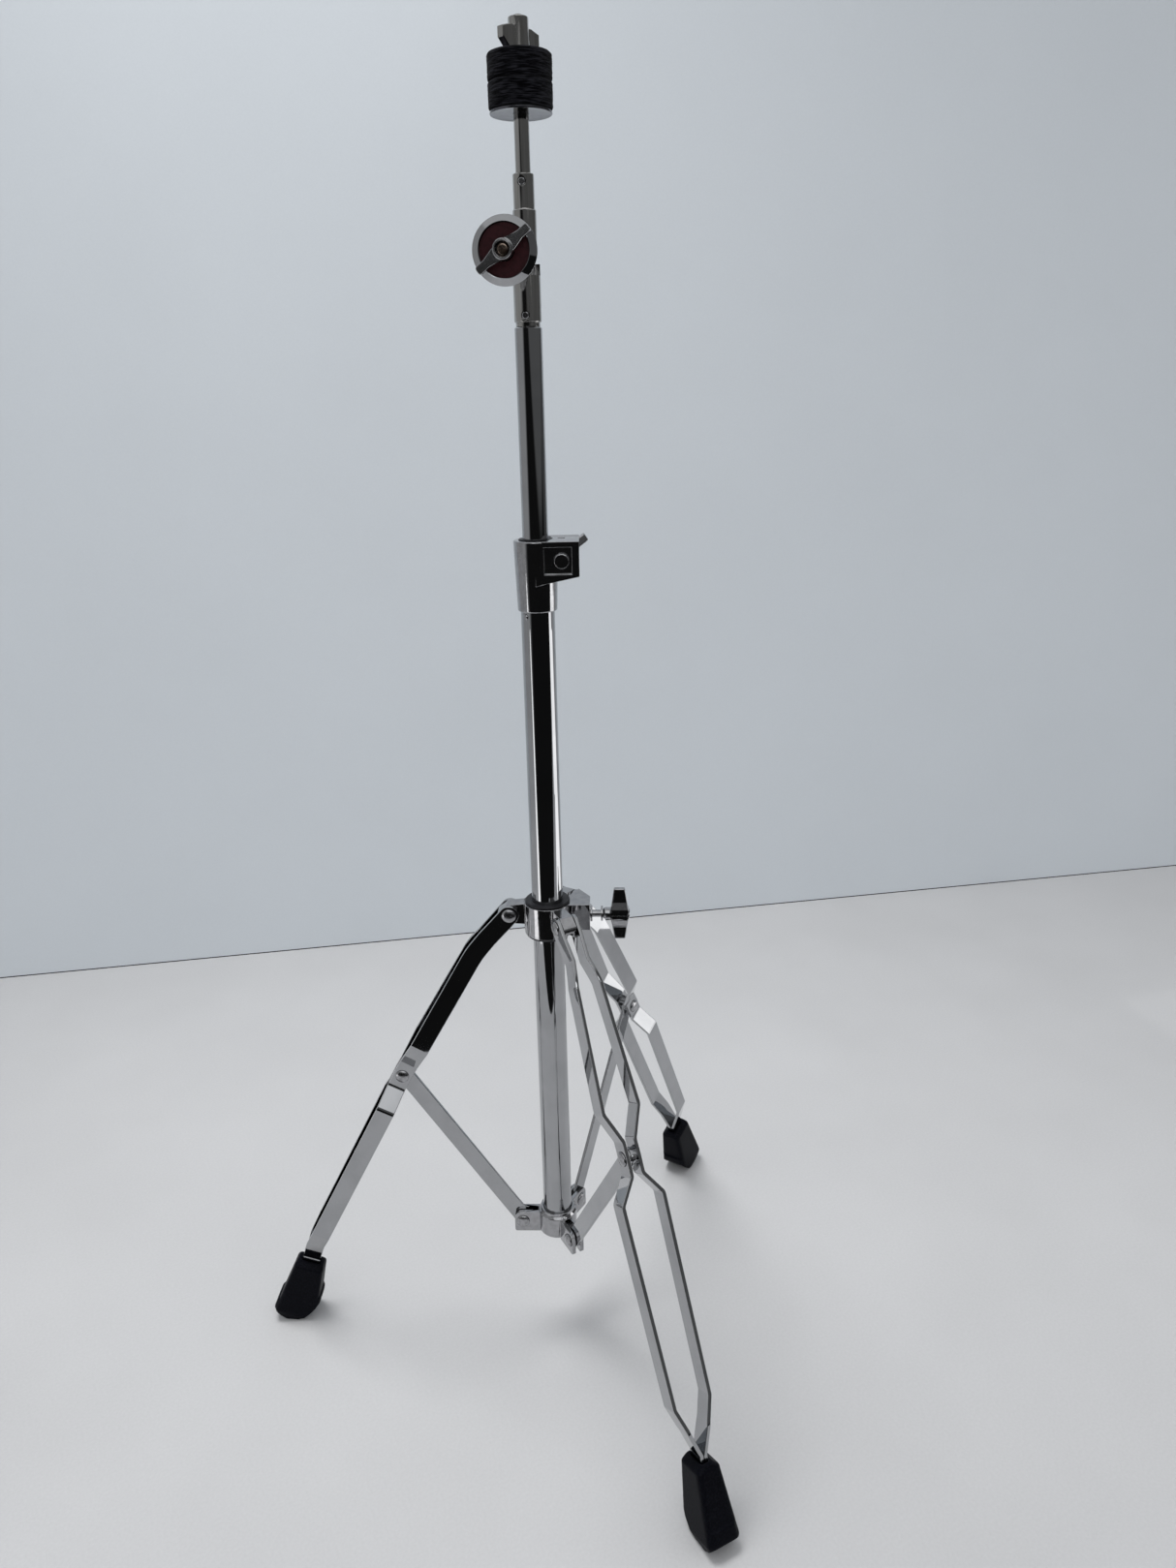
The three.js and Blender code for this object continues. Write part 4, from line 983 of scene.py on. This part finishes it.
@dataclass
class StrapForm:
    """The run of a leg's joggled strap: its line in the leg's plane and its spread from that plane.

    The line's places give distance from the tube's axis and height. The spread's places give the length along the
    strap to the nearest pin or to the socket, and the distance from the leg's plane.
    """

    width: float = 16.0
    thickness: float = 3.0
    socket_depth: float = 30.0
    bend: float = 6.0
    bend_steps: int = 5
    knee: Flat = (62.0, 384.2)
    ankle: Flat = (224.6, 83.5)
    socket: Flat = (232.8, 58.9)
    knee_radius: float = 70.0
    ankle_radius: float = 30.0
    line_steps: int = 10
    hole_radius: float = 3.1
    edge: float = 0.5
    pivot_spread: float = 7.5
    neck: Flat = (30.0, 6.2)
    shoulder: Flat = (50.0, 10.5)
    upper_bow: Flat = (37.0, 15.5)
    brace_seat: Flat = (13.0, 5.0)
    lower_bow: Flat = (32.0, 18.0)
    lower_end: Flat = (45.0, 15.5)
    close_before_socket: float = 6.0
    socket_spread: float = 1.65
    tip_arc: float = 1.45
    tip_steps: int = 9
    samples: int = 1200
    tangent_step: float = 1.0
    shortest_run: float = 0.05

    def spine(self) -> tuple[np.ndarray, np.ndarray]:
        """Return the strap's centre line.

        Returns:
            Its points in the leg's plane, and the length up to each.
        """
        pivot, brace = Vector(PLACES.collar_pin), Vector(PLACES.brace_pin)
        knee, ankle, socket = Vector(self.knee), Vector(self.ankle), Vector(self.socket)
        start = pivot + (pivot - knee).normalized() * self.width / 2.0
        end = socket + (socket - ankle).normalized() * self.socket_depth
        corners = [tuple(v) for v in (start, pivot, knee, brace, ankle, end)]
        radii = [0.0, 0.0, self.knee_radius, self.knee_radius, self.ankle_radius, 0.0]
        points = np.array(fillet(corners, radii, self.line_steps))
        lengths = np.concatenate([[0.0], np.cumsum(np.linalg.norm(np.diff(points, axis=0), axis=1))])
        return points, lengths

    def length_at(self, place: Flat) -> float:
        """Return how far along the centre line a place lies.

        Args:
            place: A place in the leg's plane, on the line or near it.

        Returns:
            The length up to the line's nearest point.
        """
        points, lengths = self.spine()
        runs = np.linspace(0.0, lengths[-1], self.samples)
        line = np.stack([np.interp(runs, lengths, points[:, axis]) for axis in (0, 1)], axis=1)
        return float(runs[np.argmin(np.linalg.norm(line - np.array(place), axis=1))])

    def spread_line(self) -> np.ndarray:
        """Return the strap's offset from the leg's plane against the length along it.

        Returns:
            Pairs of length and offset.
        """
        pivot = self.width / 2.0
        brace = self.length_at(PLACES.brace_pin)
        socket = self.length_at(self.socket)
        end = float(self.spine()[1][-1])
        corners = [
            (0.0, self.pivot_spread),
            (2.0 * pivot, self.pivot_spread),
            (pivot + self.neck[0], self.neck[1]),
            (pivot + self.shoulder[0], self.shoulder[1]),
            (brace - self.upper_bow[0], self.upper_bow[1]),
            (brace - self.brace_seat[0], self.brace_seat[1]),
            (brace + self.brace_seat[0], self.brace_seat[1]),
            (brace + self.lower_bow[0], self.lower_bow[1]),
            (socket - self.lower_end[0], self.lower_end[1]),
            (socket - self.close_before_socket, self.socket_spread),
            (end, self.socket_spread),
        ]
        return np.array(fillet(corners, [self.bend] * len(corners), self.bend_steps))

    def rows(self, side: float) -> list[tuple[Vector, Vector]]:
        """Return both edges of the strap's middle surface, row by row.

        Args:
            side: 1 or -1, the side of the leg's plane.

        Returns:
            Pairs of edge points in the leg's frame, in millimetres.
        """
        points, lengths = self.spine()
        spread = self.spread_line()
        half = self.width / 2.0
        tip = [half - half * math.sin(angle) for angle in np.linspace(0.0, self.tip_arc, self.tip_steps)]
        runs = sorted({round(float(v), 2) for v in (*tip, *spread[:, 0], *lengths) if v > self.shortest_run})

        def on_line(run: float) -> np.ndarray:
            """Return the centre line's point at a length."""
            return np.array([np.interp(run, lengths, points[:, axis]) for axis in (0, 1)])

        rows = []
        step = self.tangent_step
        for run in runs:
            x, z = on_line(run)
            chord = on_line(min(run + step, lengths[-1])) - on_line(max(run - step, 0.0))
            along = chord / np.linalg.norm(chord)
            offset = side * float(np.interp(run, spread[:, 0], spread[:, 1]))
            reach = math.sqrt(max(half**2 - max(half - run, 0.0) ** 2, 0.0))
            across = Vector((-along[1], 0.0, along[0])) * reach
            middle = Vector((x, offset, z))
            rows.append((middle + across, middle - across))
        return rows


@dataclass
class Tripod:
    """Legs of paired straps, braces, rivets and rubber boots."""

    bench: Bench
    brace_edge: float = 0.45
    rivet_radius: float = 5.9
    rivet_rise: float = 2.1
    shank_radius: float = 2.9
    dome_points: int = 9
    drill_faces: int = 32
    drill_length: float = 100.0
    boot_grain: float = 0.75
    boot_rounds: int = 5
    legs: tuple[int, ...] = (1, 2, 3)
    form: StrapForm = field(default_factory=StrapForm)

    def strap_master(self, name: str, side: float) -> Piece:
        """Bend one strap in the leg's own frame.

        Args:
            name: Name of the new piece.
            side: 1 or -1, the side of the leg's plane.

        Returns:
            The strap with its rivet holes and eased edges.
        """
        form = self.form
        rows = form.rows(side)
        steps = len(rows) - 1
        piece = primitive(name, bpy.ops.mesh.primitive_grid_add, x_subdivisions=1, y_subdivisions=steps, size=1.0)
        for vertex in piece.data.vertices:
            row = round((vertex.co.y + 0.5) * steps)
            vertex.co = rows[row][0 if vertex.co.x < 0.0 else 1] * MM
        self.bench.modify(piece, "SOLIDIFY", thickness=form.thickness * MM, offset=0.0, use_even_offset=True)
        self.bench.edit(piece, face_outwards)
        for reach, height in (PLACES.collar_pin, PLACES.brace_pin):
            drill = primitive(
                "drill",
                bpy.ops.mesh.primitive_cylinder_add,
                vertices=self.drill_faces,
                radius=form.hole_radius * MM,
                depth=self.drill_length * MM,
                location=(reach * MM, 0.0, height * MM),
                rotation=(math.pi / 2.0, 0.0, 0.0),
            )
            self.bench.combine(piece, drill, Way.CUT)
        self.bench.ease_edges(piece, form.edge, angle=40.0)
        self.bench.smooth(piece, angle=35.0)
        return piece

    def straps(self) -> None:
        """Bend the left and the right strap once and set a copy of each on every leg."""
        for side_name, side in (("left", 1.0), ("right", -1.0)):
            master = self.strap_master(f"strap_master_{side_name}", side)
            for number in self.legs:
                node = f"leg_{number}_strap_{side_name}"
                piece = linked(f"{node}_plated", master.data.copy())
                self.bench.settle(piece, PLACES.leg_frame(number))
                self.bench.mount(piece, node, CHROME)
            bpy.data.objects.remove(master)

    def braces(self, number: int) -> None:
        """Plate one leg's brace and spacers.

        Args:
            number: The leg.
        """
        self.bench.dress(f"brace_{number}", "plated", CHROME, self.brace_edge, segments=2)
        for side in ("left", "right"):
            self.bench.dress(f"leg_{number}_spacer_{side}", "plated", CHROME)

    def rivet(self, node: str, number: int, pin: Flat) -> None:
        """Replace one rivet by a shank with two domed heads.

        Args:
            node: The CAD rivet.
            number: Its leg.
            pin: Its distance from the tube's axis and its height.
        """
        place = PLACES.pin_frame(number, pin)
        inverse = place.inverted()
        ends = [(inverse @ (v.co / MM)).z for v in self.bench.nodes[node].data.vertices]
        top, bottom = max(ends), min(ends)
        radius, rise = self.rivet_radius, self.rivet_rise
        angles = np.linspace(0.0, math.pi / 2.0, self.dome_points)
        dome = [(radius * math.cos(a), rise * math.sin(a)) for a in angles]
        upper = [(x, top - rise + y) for x, y in dome]
        lower = [(x, bottom + rise - y) for x, y in reversed(dome)]
        shank = [(self.shank_radius, bottom + rise), (self.shank_radius, top - rise)]
        piece = self.bench.turned(f"{node}_domed", [*lower, *shank, *upper], place, steps=48)
        self.bench.smooth(piece, angle=40.0)
        self.bench.mount(piece, node, STEEL)

    def boot(self, number: int) -> None:
        """Soften a boot's edges as a moulding's are, and smooth its walls.

        Args:
            number: Its leg.
        """
        node = f"leg_{number}_boot"
        piece = self.bench.copy_of(node, f"{node}_moulded")
        self.bench.modify(piece, "REMESH", mode="VOXEL", voxel_size=self.boot_grain * MM)
        self.bench.modify(piece, "SMOOTH", factor=0.5, iterations=self.boot_rounds)
        self.bench.smooth(piece, angle=60.0)
        self.bench.mount(piece, node, RUBBER)

    def build(self) -> None:
        """Build all three legs."""
        self.straps()
        for number in self.legs:
            self.braces(number)
            self.boot(number)
            self.rivet(f"leg_rivet_{number}", number, PLACES.collar_pin)
            self.rivet(f"foot_rivet_{number}", number, PLACES.foot_pin)
            self.rivet(f"leg_{number}_brace_rivet", number, PLACES.brace_pin)


# Tubes, collars and clamp


@dataclass
class Column:
    """Both tubes, the collars and the height clamp."""

    bench: Bench
    base_radius: float = 12.7
    base_wall: float = 1.5
    base_ends: Flat = (102.0, 704.0)
    upper_radius: float = 9.5
    upper_wall: float = 1.2
    upper_ends: Flat = (384.0, 864.0)
    tube_ease: float = 0.6
    handle_azimuth: float = -30.0
    handle_height: float = 416.9
    handle_edge: float = 0.9
    hub_radius: float = 5.0
    hub_edge: float = 1.2
    hub_ends: Flat = (45.6, 67.1)
    bore_radius: float = 3.12
    bore_end: float = 56.4
    blade_span: float = 45.0
    blade_reach: float = 59.0
    blade_widths: Flat = (15.6, 9.0)
    blade_root_half: float = 4.9
    blade_tip_half: float = 2.2
    blade_flank: float = 6.6
    blade_flank_start: float = 4.2
    blade_rows: int = 31
    cast_edges: dict[str, float] = field(
        default_factory=lambda: {
            "lower_collar": 0.4,
            "leg_collar": 0.4,
            "height_clamp": 0.4,
            "clamp_bolt": 0.3,
            "clamp_wing_handle": 1.1,
            "collar_wing_screw": 0.2,
            "tube_stop_rivet": 0.1,
        }
    )
    nylon_nodes: tuple[str, ...] = (
        "tube_end_plug",
        "clamp_bush",
        "collar_bush_upper",
        "collar_bush_lower",
        "collar_pressure_pad",
    )

    def tube(self, node: str, radius: float, wall: float, ends: Flat) -> None:
        """Turn one tube with eased ends.

        Args:
            node: The CAD tube.
            radius: Its outer radius.
            wall: Its wall.
            ends: Heights of its lower and its upper end.
        """
        ease = self.tube_ease
        inner = radius - wall
        bottom, top = ends
        profile = [
            (inner, bottom),
            (radius - ease, bottom),
            (radius, bottom + ease),
            (radius, top - ease),
            (radius - ease, top),
            (inner, top),
        ]
        piece = self.bench.turned(f"{node}_drawn", profile, PLACES.frame(), steps=112, ring=Ring.CLOSED)
        self.bench.smooth(piece)
        self.bench.mount(piece, node, CHROME)

    def handle_blades(self, place: Matrix) -> Piece:
        """Cast the handle's blades, thick at the hub and thin and narrow at the tips.

        Args:
            place: The handle's frame, with +X along the screw and +Z along the span.

        Returns:
            The blades as one piece.
        """
        half_span = self.blade_span / 2.0
        tall = np.linspace(-half_span, half_span, self.blade_rows)
        waist = np.clip(1.0 - (np.abs(tall) - self.blade_flank_start) / self.blade_flank, 0.0, 1.0)
        deep = self.blade_tip_half + (self.blade_root_half - self.blade_tip_half) * waist
        outline = [*zip(deep, tall), *zip(-deep[::-1], tall[::-1])]
        piece = primitive(
            "handle_blades", bpy.ops.mesh.primitive_circle_add, vertices=len(outline), radius=MM, fill_type="NGON"
        )
        for vertex, (across, up) in zip(piece.data.vertices, outline):
            vertex.co = Vector((-0.5, across * MM, up * MM))
        self.bench.edit(
            piece,
            lambda: bpy.ops.mesh.extrude_region_move(TRANSFORM_OT_translate={"value": (1.0, 0.0, 0.0)}),
            face_outwards,
        )
        root, tip = self.blade_widths
        for vertex in piece.data.vertices:
            share = abs(vertex.co.z) / (half_span * MM)
            vertex.co.x *= (root + (tip - root) * share) * MM
        self.bench.settle(piece, place @ moved(self.blade_reach, 0.0, 0.0))
        return piece

    def collar_handle(self) -> None:
        """Cast the collar's wing handle with its bored hub."""
        node = "collar_wing_handle"
        place = PLACES.frame(self.handle_azimuth, height=self.handle_height)
        along = place @ rotated(90.0, "Y")
        radius, edge = self.hub_radius, self.hub_edge
        start, end = self.hub_ends
        hub = [(0.0, start), (radius - edge, start), (radius, start + edge)]
        hub += [(radius, end - edge), (radius - edge, end), (0.0, end)]
        piece = self.bench.turned(f"{node}_cast", hub, along, steps=64)
        self.bench.combine(piece, self.handle_blades(place), Way.JOIN)
        self.bench.drill(piece, self.bore_radius, (start - edge, self.bore_end), along)
        self.bench.ease_edges(piece, self.handle_edge, angle=40.0)
        self.bench.smooth(piece, angle=40.0)
        self.bench.mount(piece, node, CASTING)

    def build(self) -> None:
        """Build the column."""
        self.collar_handle()
        self.tube("base_tube", self.base_radius, self.base_wall, self.base_ends)
        self.tube("upper_tube", self.upper_radius, self.upper_wall, self.upper_ends)
        for node, edge in self.cast_edges.items():
            self.bench.dress(node, "plated", CASTING, edge)
        for node in self.nylon_nodes:
            self.bench.dress(node, "moulded", NYLON)


# Tilter and top


@dataclass
class Tilter:
    """The tilter's castings, cap, disc and wing."""

    bench: Bench
    azimuth: float = -33.6
    pivot_height: float = 909.7
    pivot_offset: float = 10.2
    knuckle_radius: float = 13.0
    half_grip: float = 9.4
    split: float = 0.15
    bolt_hole: float = 4.02
    base_radius: float = 9.4
    base_bottom: float = 867.0
    groove_radius: float = 8.4
    tube_top: float = 864.0
    plug_radius: float = 8.0
    plug_length: float = 26.0
    plug_proud: float = 0.3
    neck_rise: float = 6.0
    head_radius: float = 7.9
    head_top: float = 936.4
    stem_radius: float = 7.1
    stem_top: float = 958.2
    edge: float = 0.8
    soft_share: float = 0.3
    shoulder_share: float = 0.4
    drilled_edge: float = 0.3
    half_margin: float = 1.02
    socket_radius: float = 5.4
    socket_depth: float = 14.0
    seat_radius: float = 2.7
    seat_depth: float = 2.0
    seat_azimuth: float = -36.0
    base_seat_height: float = 871.3
    stem_seat_height: float = 953.0
    wing_edge: float = 0.7
    cap_floor: float = 26.8
    cap_outline: tuple[Flat, ...] = (
        (10.2, 11.7),
        (11.0, 12.1),
        (15.7, 18.3),
        (20.9, 24.7),
        (21.4, 25.4),
        (21.65, 26.0),
        (21.7, 26.3),
        (21.6, 26.5),
        (17.5, 29.85),
        (17.25, 30.0),
        (17.05, 29.95),
        (17.0, 29.8),
    )
    disc_outline: tuple[Flat, ...] = (
        (6.7, 27.1),
        (16.7, 27.1),
        (16.7, 28.1),
        (16.5, 28.3),
        (6.9, 28.3),
        (6.7, 28.1),
    )
    small_parts: dict[str, tuple[float, Finish]] = field(
        default_factory=lambda: {
            "tilter_base_screw": (0.15, STEEL),
            "tilter_head_screw": (0.15, STEEL),
            "tilter_bolt": (0.6, STUD),
        }
    )

    def pivot_frame(self) -> Matrix:
        """Return the frame on the pivot's axis, with +Z the way the cap faces."""
        return PLACES.frame(self.azimuth, -self.pivot_offset, self.pivot_height) @ rotated(90.0, "X")

    def seat_frame(self, height: float) -> Matrix:
        """Return a set screw's frame, with +Z outwards."""
        return PLACES.frame(self.seat_azimuth, height=height) @ rotated(90.0, "X")

    def half_cut(self, way: float) -> Piece:
        """Return the block that takes one half off a post's end at the joint.

        Args:
            way: 1 for the cap's half, -1 for the far one.

        Returns:
            The block.
        """
        size = self.knuckle_radius * self.half_margin
        piece = primitive("half", bpy.ops.mesh.primitive_cube_add, size=2.0 * MM)
        place = moved(0.0, 0.0, way * (size - self.split))
        self.bench.settle(piece, self.pivot_frame() @ place @ Matrix.Diagonal((2.0 * size, size, size, 1.0)))
        return piece

    def knuckle(self, way: float) -> Piece:
        """Return the round half of the joint on one side.

        Args:
            way: 1 for the cap's half, -1 for the far one.

        Returns:
            The knuckle.
        """
        radius, edge, grip = self.knuckle_radius, self.edge, self.half_grip
        soft = edge * self.soft_share
        profile = [
            (0.0, self.split),
            (radius - edge / 2.0, self.split),
            (radius, self.split + edge / 2.0),
            (radius, grip - edge),
            (radius - soft, grip - soft),
            (radius - edge, grip),
            (0.0, grip),
        ]
        side = Matrix.Identity(4) if way > 0.0 else rotated(180.0, "X")
        return self.bench.turned("knuckle", profile, self.pivot_frame() @ side)

    def post(self, node: str, profile: Profile, way: float, seat: float, radius: float) -> None:
        """Turn a post, join it with its half of the joint, and drill it.

        Args:
            node: The CAD node that it stands for.
            profile: The post's profile about the tube's axis.
            way: Side of its half of the joint.
            seat: Height of its set screw.
            radius: Radius of the post at the set screw.
        """
        piece = self.bench.turned(f"{node}_turned", profile, PLACES.frame())
        self.bench.combine(piece, self.half_cut(-way), Way.CUT)
        self.bench.combine(piece, self.knuckle(way), Way.JOIN)
        reach = self.half_grip * 2.0
        self.bench.drill(piece, self.bolt_hole, (-reach, reach), self.pivot_frame())
        self.bench.drill(piece, self.seat_radius, (radius - self.seat_depth, radius + reach), self.seat_frame(seat))
        if way > 0.0:
            run = (self.stem_top - self.socket_depth, self.stem_top + reach)
            self.bench.drill(piece, self.socket_radius, run, PLACES.frame())
        self.bench.ease_edges(piece, self.drilled_edge, segments=2, angle=40.0)
        self.bench.smooth(piece, angle=35.0)
        self.bench.mount(piece, node, DRAWN)

    def posts(self) -> None:
        """Build the lower and the upper post."""
        edge, soft = self.edge, self.edge * self.soft_share
        plug_bottom, plug_top = self.tube_top - self.plug_length, self.tube_top + self.plug_proud
        base = [
            (0.0, plug_bottom),
            (self.plug_radius, plug_bottom),
            (self.plug_radius, plug_top),
            (self.groove_radius, plug_top),
            (self.groove_radius, self.base_bottom),
            (self.base_radius - edge, self.base_bottom),
            (self.base_radius - soft, self.base_bottom + soft),
            (self.base_radius, self.base_bottom + edge),
            (self.base_radius, self.pivot_height - self.neck_rise),
            (0.0, self.pivot_height - self.neck_rise),
        ]
        head = [
            (0.0, self.pivot_height + self.neck_rise),
            (self.head_radius, self.pivot_height + self.neck_rise),
            (self.head_radius, self.head_top - edge * self.shoulder_share),
            (self.head_radius - soft, self.head_top),
            (self.stem_radius, self.head_top + edge),
            (self.stem_radius, self.stem_top - edge),
            (self.stem_radius - soft, self.stem_top - soft),
            (self.stem_radius - edge, self.stem_top),
            (0.0, self.stem_top),
        ]
        self.post("tilter_base", base, -1.0, self.base_seat_height, self.base_radius)
        self.post("tilter_head", head, 1.0, self.stem_seat_height, self.stem_radius)

    def cap(self) -> None:
        """Turn the dished cap with its bright sloping rim."""
        bore, back, recess = self.bolt_hole, self.cap_outline[0][1], self.cap_outline[-1][0]
        profile = [(bore, back), *self.cap_outline, (recess, self.cap_floor), (bore, self.cap_floor)]
        piece = self.bench.turned("tilter_cap_turned", profile, self.pivot_frame(), steps=112, ring=Ring.CLOSED)
        self.bench.smooth(piece, angle=38.0)
        self.bench.mount(piece, "tilter_cap", CHROME)

    def disc(self) -> None:
        """Turn the coloured disc with eased rims."""
        frame = self.pivot_frame()
        piece = self.bench.turned("tilter_inlay_turned", self.disc_outline, frame, ring=Ring.CLOSED)
        self.bench.smooth(piece)
        self.bench.mount(piece, "tilter_inlay", DISC)

    def build(self) -> None:
        """Build the tilter."""
        self.posts()
        self.cap()
        self.disc()
        self.bench.dress("tilter_wing", "cast", SATIN, self.wing_edge)
        for node, (edge, finish) in self.small_parts.items():
            self.bench.dress(node, "plated", finish, edge)
        self.bench.dress("tilter_washer", "cut", NYLON)


@dataclass
class CymbalSeat:
    """Rod, sleeve, washer, felts and wing nut."""

    bench: Bench
    felt_radius: float = 21.3
    felt_bore: float = 6.0
    felt_thickness: float = 15.8
    felt_round: float = 1.6
    felt_rows: int = 22
    felt_rim_points: int = 5
    felt_face_points: int = 8
    felt_bottoms: dict[str, float] = field(default_factory=lambda: {"lower_felt": 994.9, "upper_felt": 1011.0})
    plain_margin: float = 1.0
    worn: float = 0.3
    layer_depth: float = 0.28
    layer_grain: float = 1600.0
    layer_run: float = 90.0
    fuzz_depth: float = 0.22
    fuzz_grain: float = 2600.0
    metal_parts: dict[str, tuple[float, Finish]] = field(
        default_factory=lambda: {"cymbal_rod": (0.3, DRAWN), "cup_washer": (0.3, CUP), "wing_nut": (0.8, DRAWN)}
    )

    def felt_profile(self, bottom: float) -> Profile:
        """Return a felt's ring-shaped profile with soft outer rims.

        Args:
            bottom: Height of its underside.

        Returns:
            Points as distance from the axis and height.
        """
        radius, soft = self.felt_radius, self.felt_round
        top = bottom + self.felt_thickness
        angles = np.linspace(0.0, math.pi / 2.0, self.felt_rim_points)
        corner = [(1.0 - math.cos(a), 1.0 - math.sin(a)) for a in angles]
        lower = [(radius - soft * x, bottom + soft * y) for x, y in reversed(corner)]
        side = [(radius, z) for z in np.linspace(bottom + soft, top - soft, self.felt_rows)[1:-1]]
        upper = [(radius - soft * x, top - soft * y) for x, y in corner]
        face = np.linspace(self.felt_bore, radius - soft, self.felt_face_points)[:-1]
        return [(x, bottom) for x in face] + lower + side + upper + [(x, top) for x in reversed(face)]

    def felt(self, node: str, bottom: float) -> None:
        """Turn one felt and give it a fibrous, layered side.

        Args:
            node: The CAD felt that it stands for.
            bottom: Height of its underside.
        """
        profile = self.felt_profile(bottom)
        piece = self.bench.turned(f"{node}_pressed", profile, PLACES.frame(), steps=180, ring=Ring.CLOSED)
        centre = Vector((0.0, PLACES.axis_y, 0.0)) * MM
        for vertex in piece.data.vertices:
            out = vertex.co - centre
            flat = Vector((out.x, out.y, 0.0))
            if flat.length < (self.felt_bore + self.plain_margin) * MM:
                continue
            layers = Vector((flat.x * self.layer_run, flat.y * self.layer_run, vertex.co.z * self.layer_grain))
            layer, fuzz = noise.noise(layers), noise.noise(vertex.co * self.fuzz_grain)
            vertex.co -= flat.normalized() * (self.worn + self.layer_depth * layer + self.fuzz_depth * fuzz) * MM
        self.bench.smooth(piece, angle=60.0)
        self.bench.mount(piece, node, FELT)

    def build(self) -> None:
        """Build the seat of the cymbal."""
        for node, bottom in self.felt_bottoms.items():
            self.felt(node, bottom)
        for node, (edge, finish) in self.metal_parts.items():
            self.bench.dress(node, "plated", finish, edge)
        self.bench.dress("seat_sleeve", "moulded", NYLON)


def corners(bounds: Sequence[Sequence[float]]) -> list[list[float]]:
    """Return a box's corners as plain lists of numbers."""
    return [[float(value) for value in corner] for corner in bounds]


def main() -> None:
    """Build the studio and the stand."""
    logging.basicConfig(level=logging.INFO, format="%(name)s: %(message)s")
    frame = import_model()
    bench = Bench(frame)
    Studio().build()
    Column(bench).build()
    Tripod(bench).build()
    Tilter(bench).build()
    CymbalSeat(bench).build()


if __name__ == "__main__":
    main()
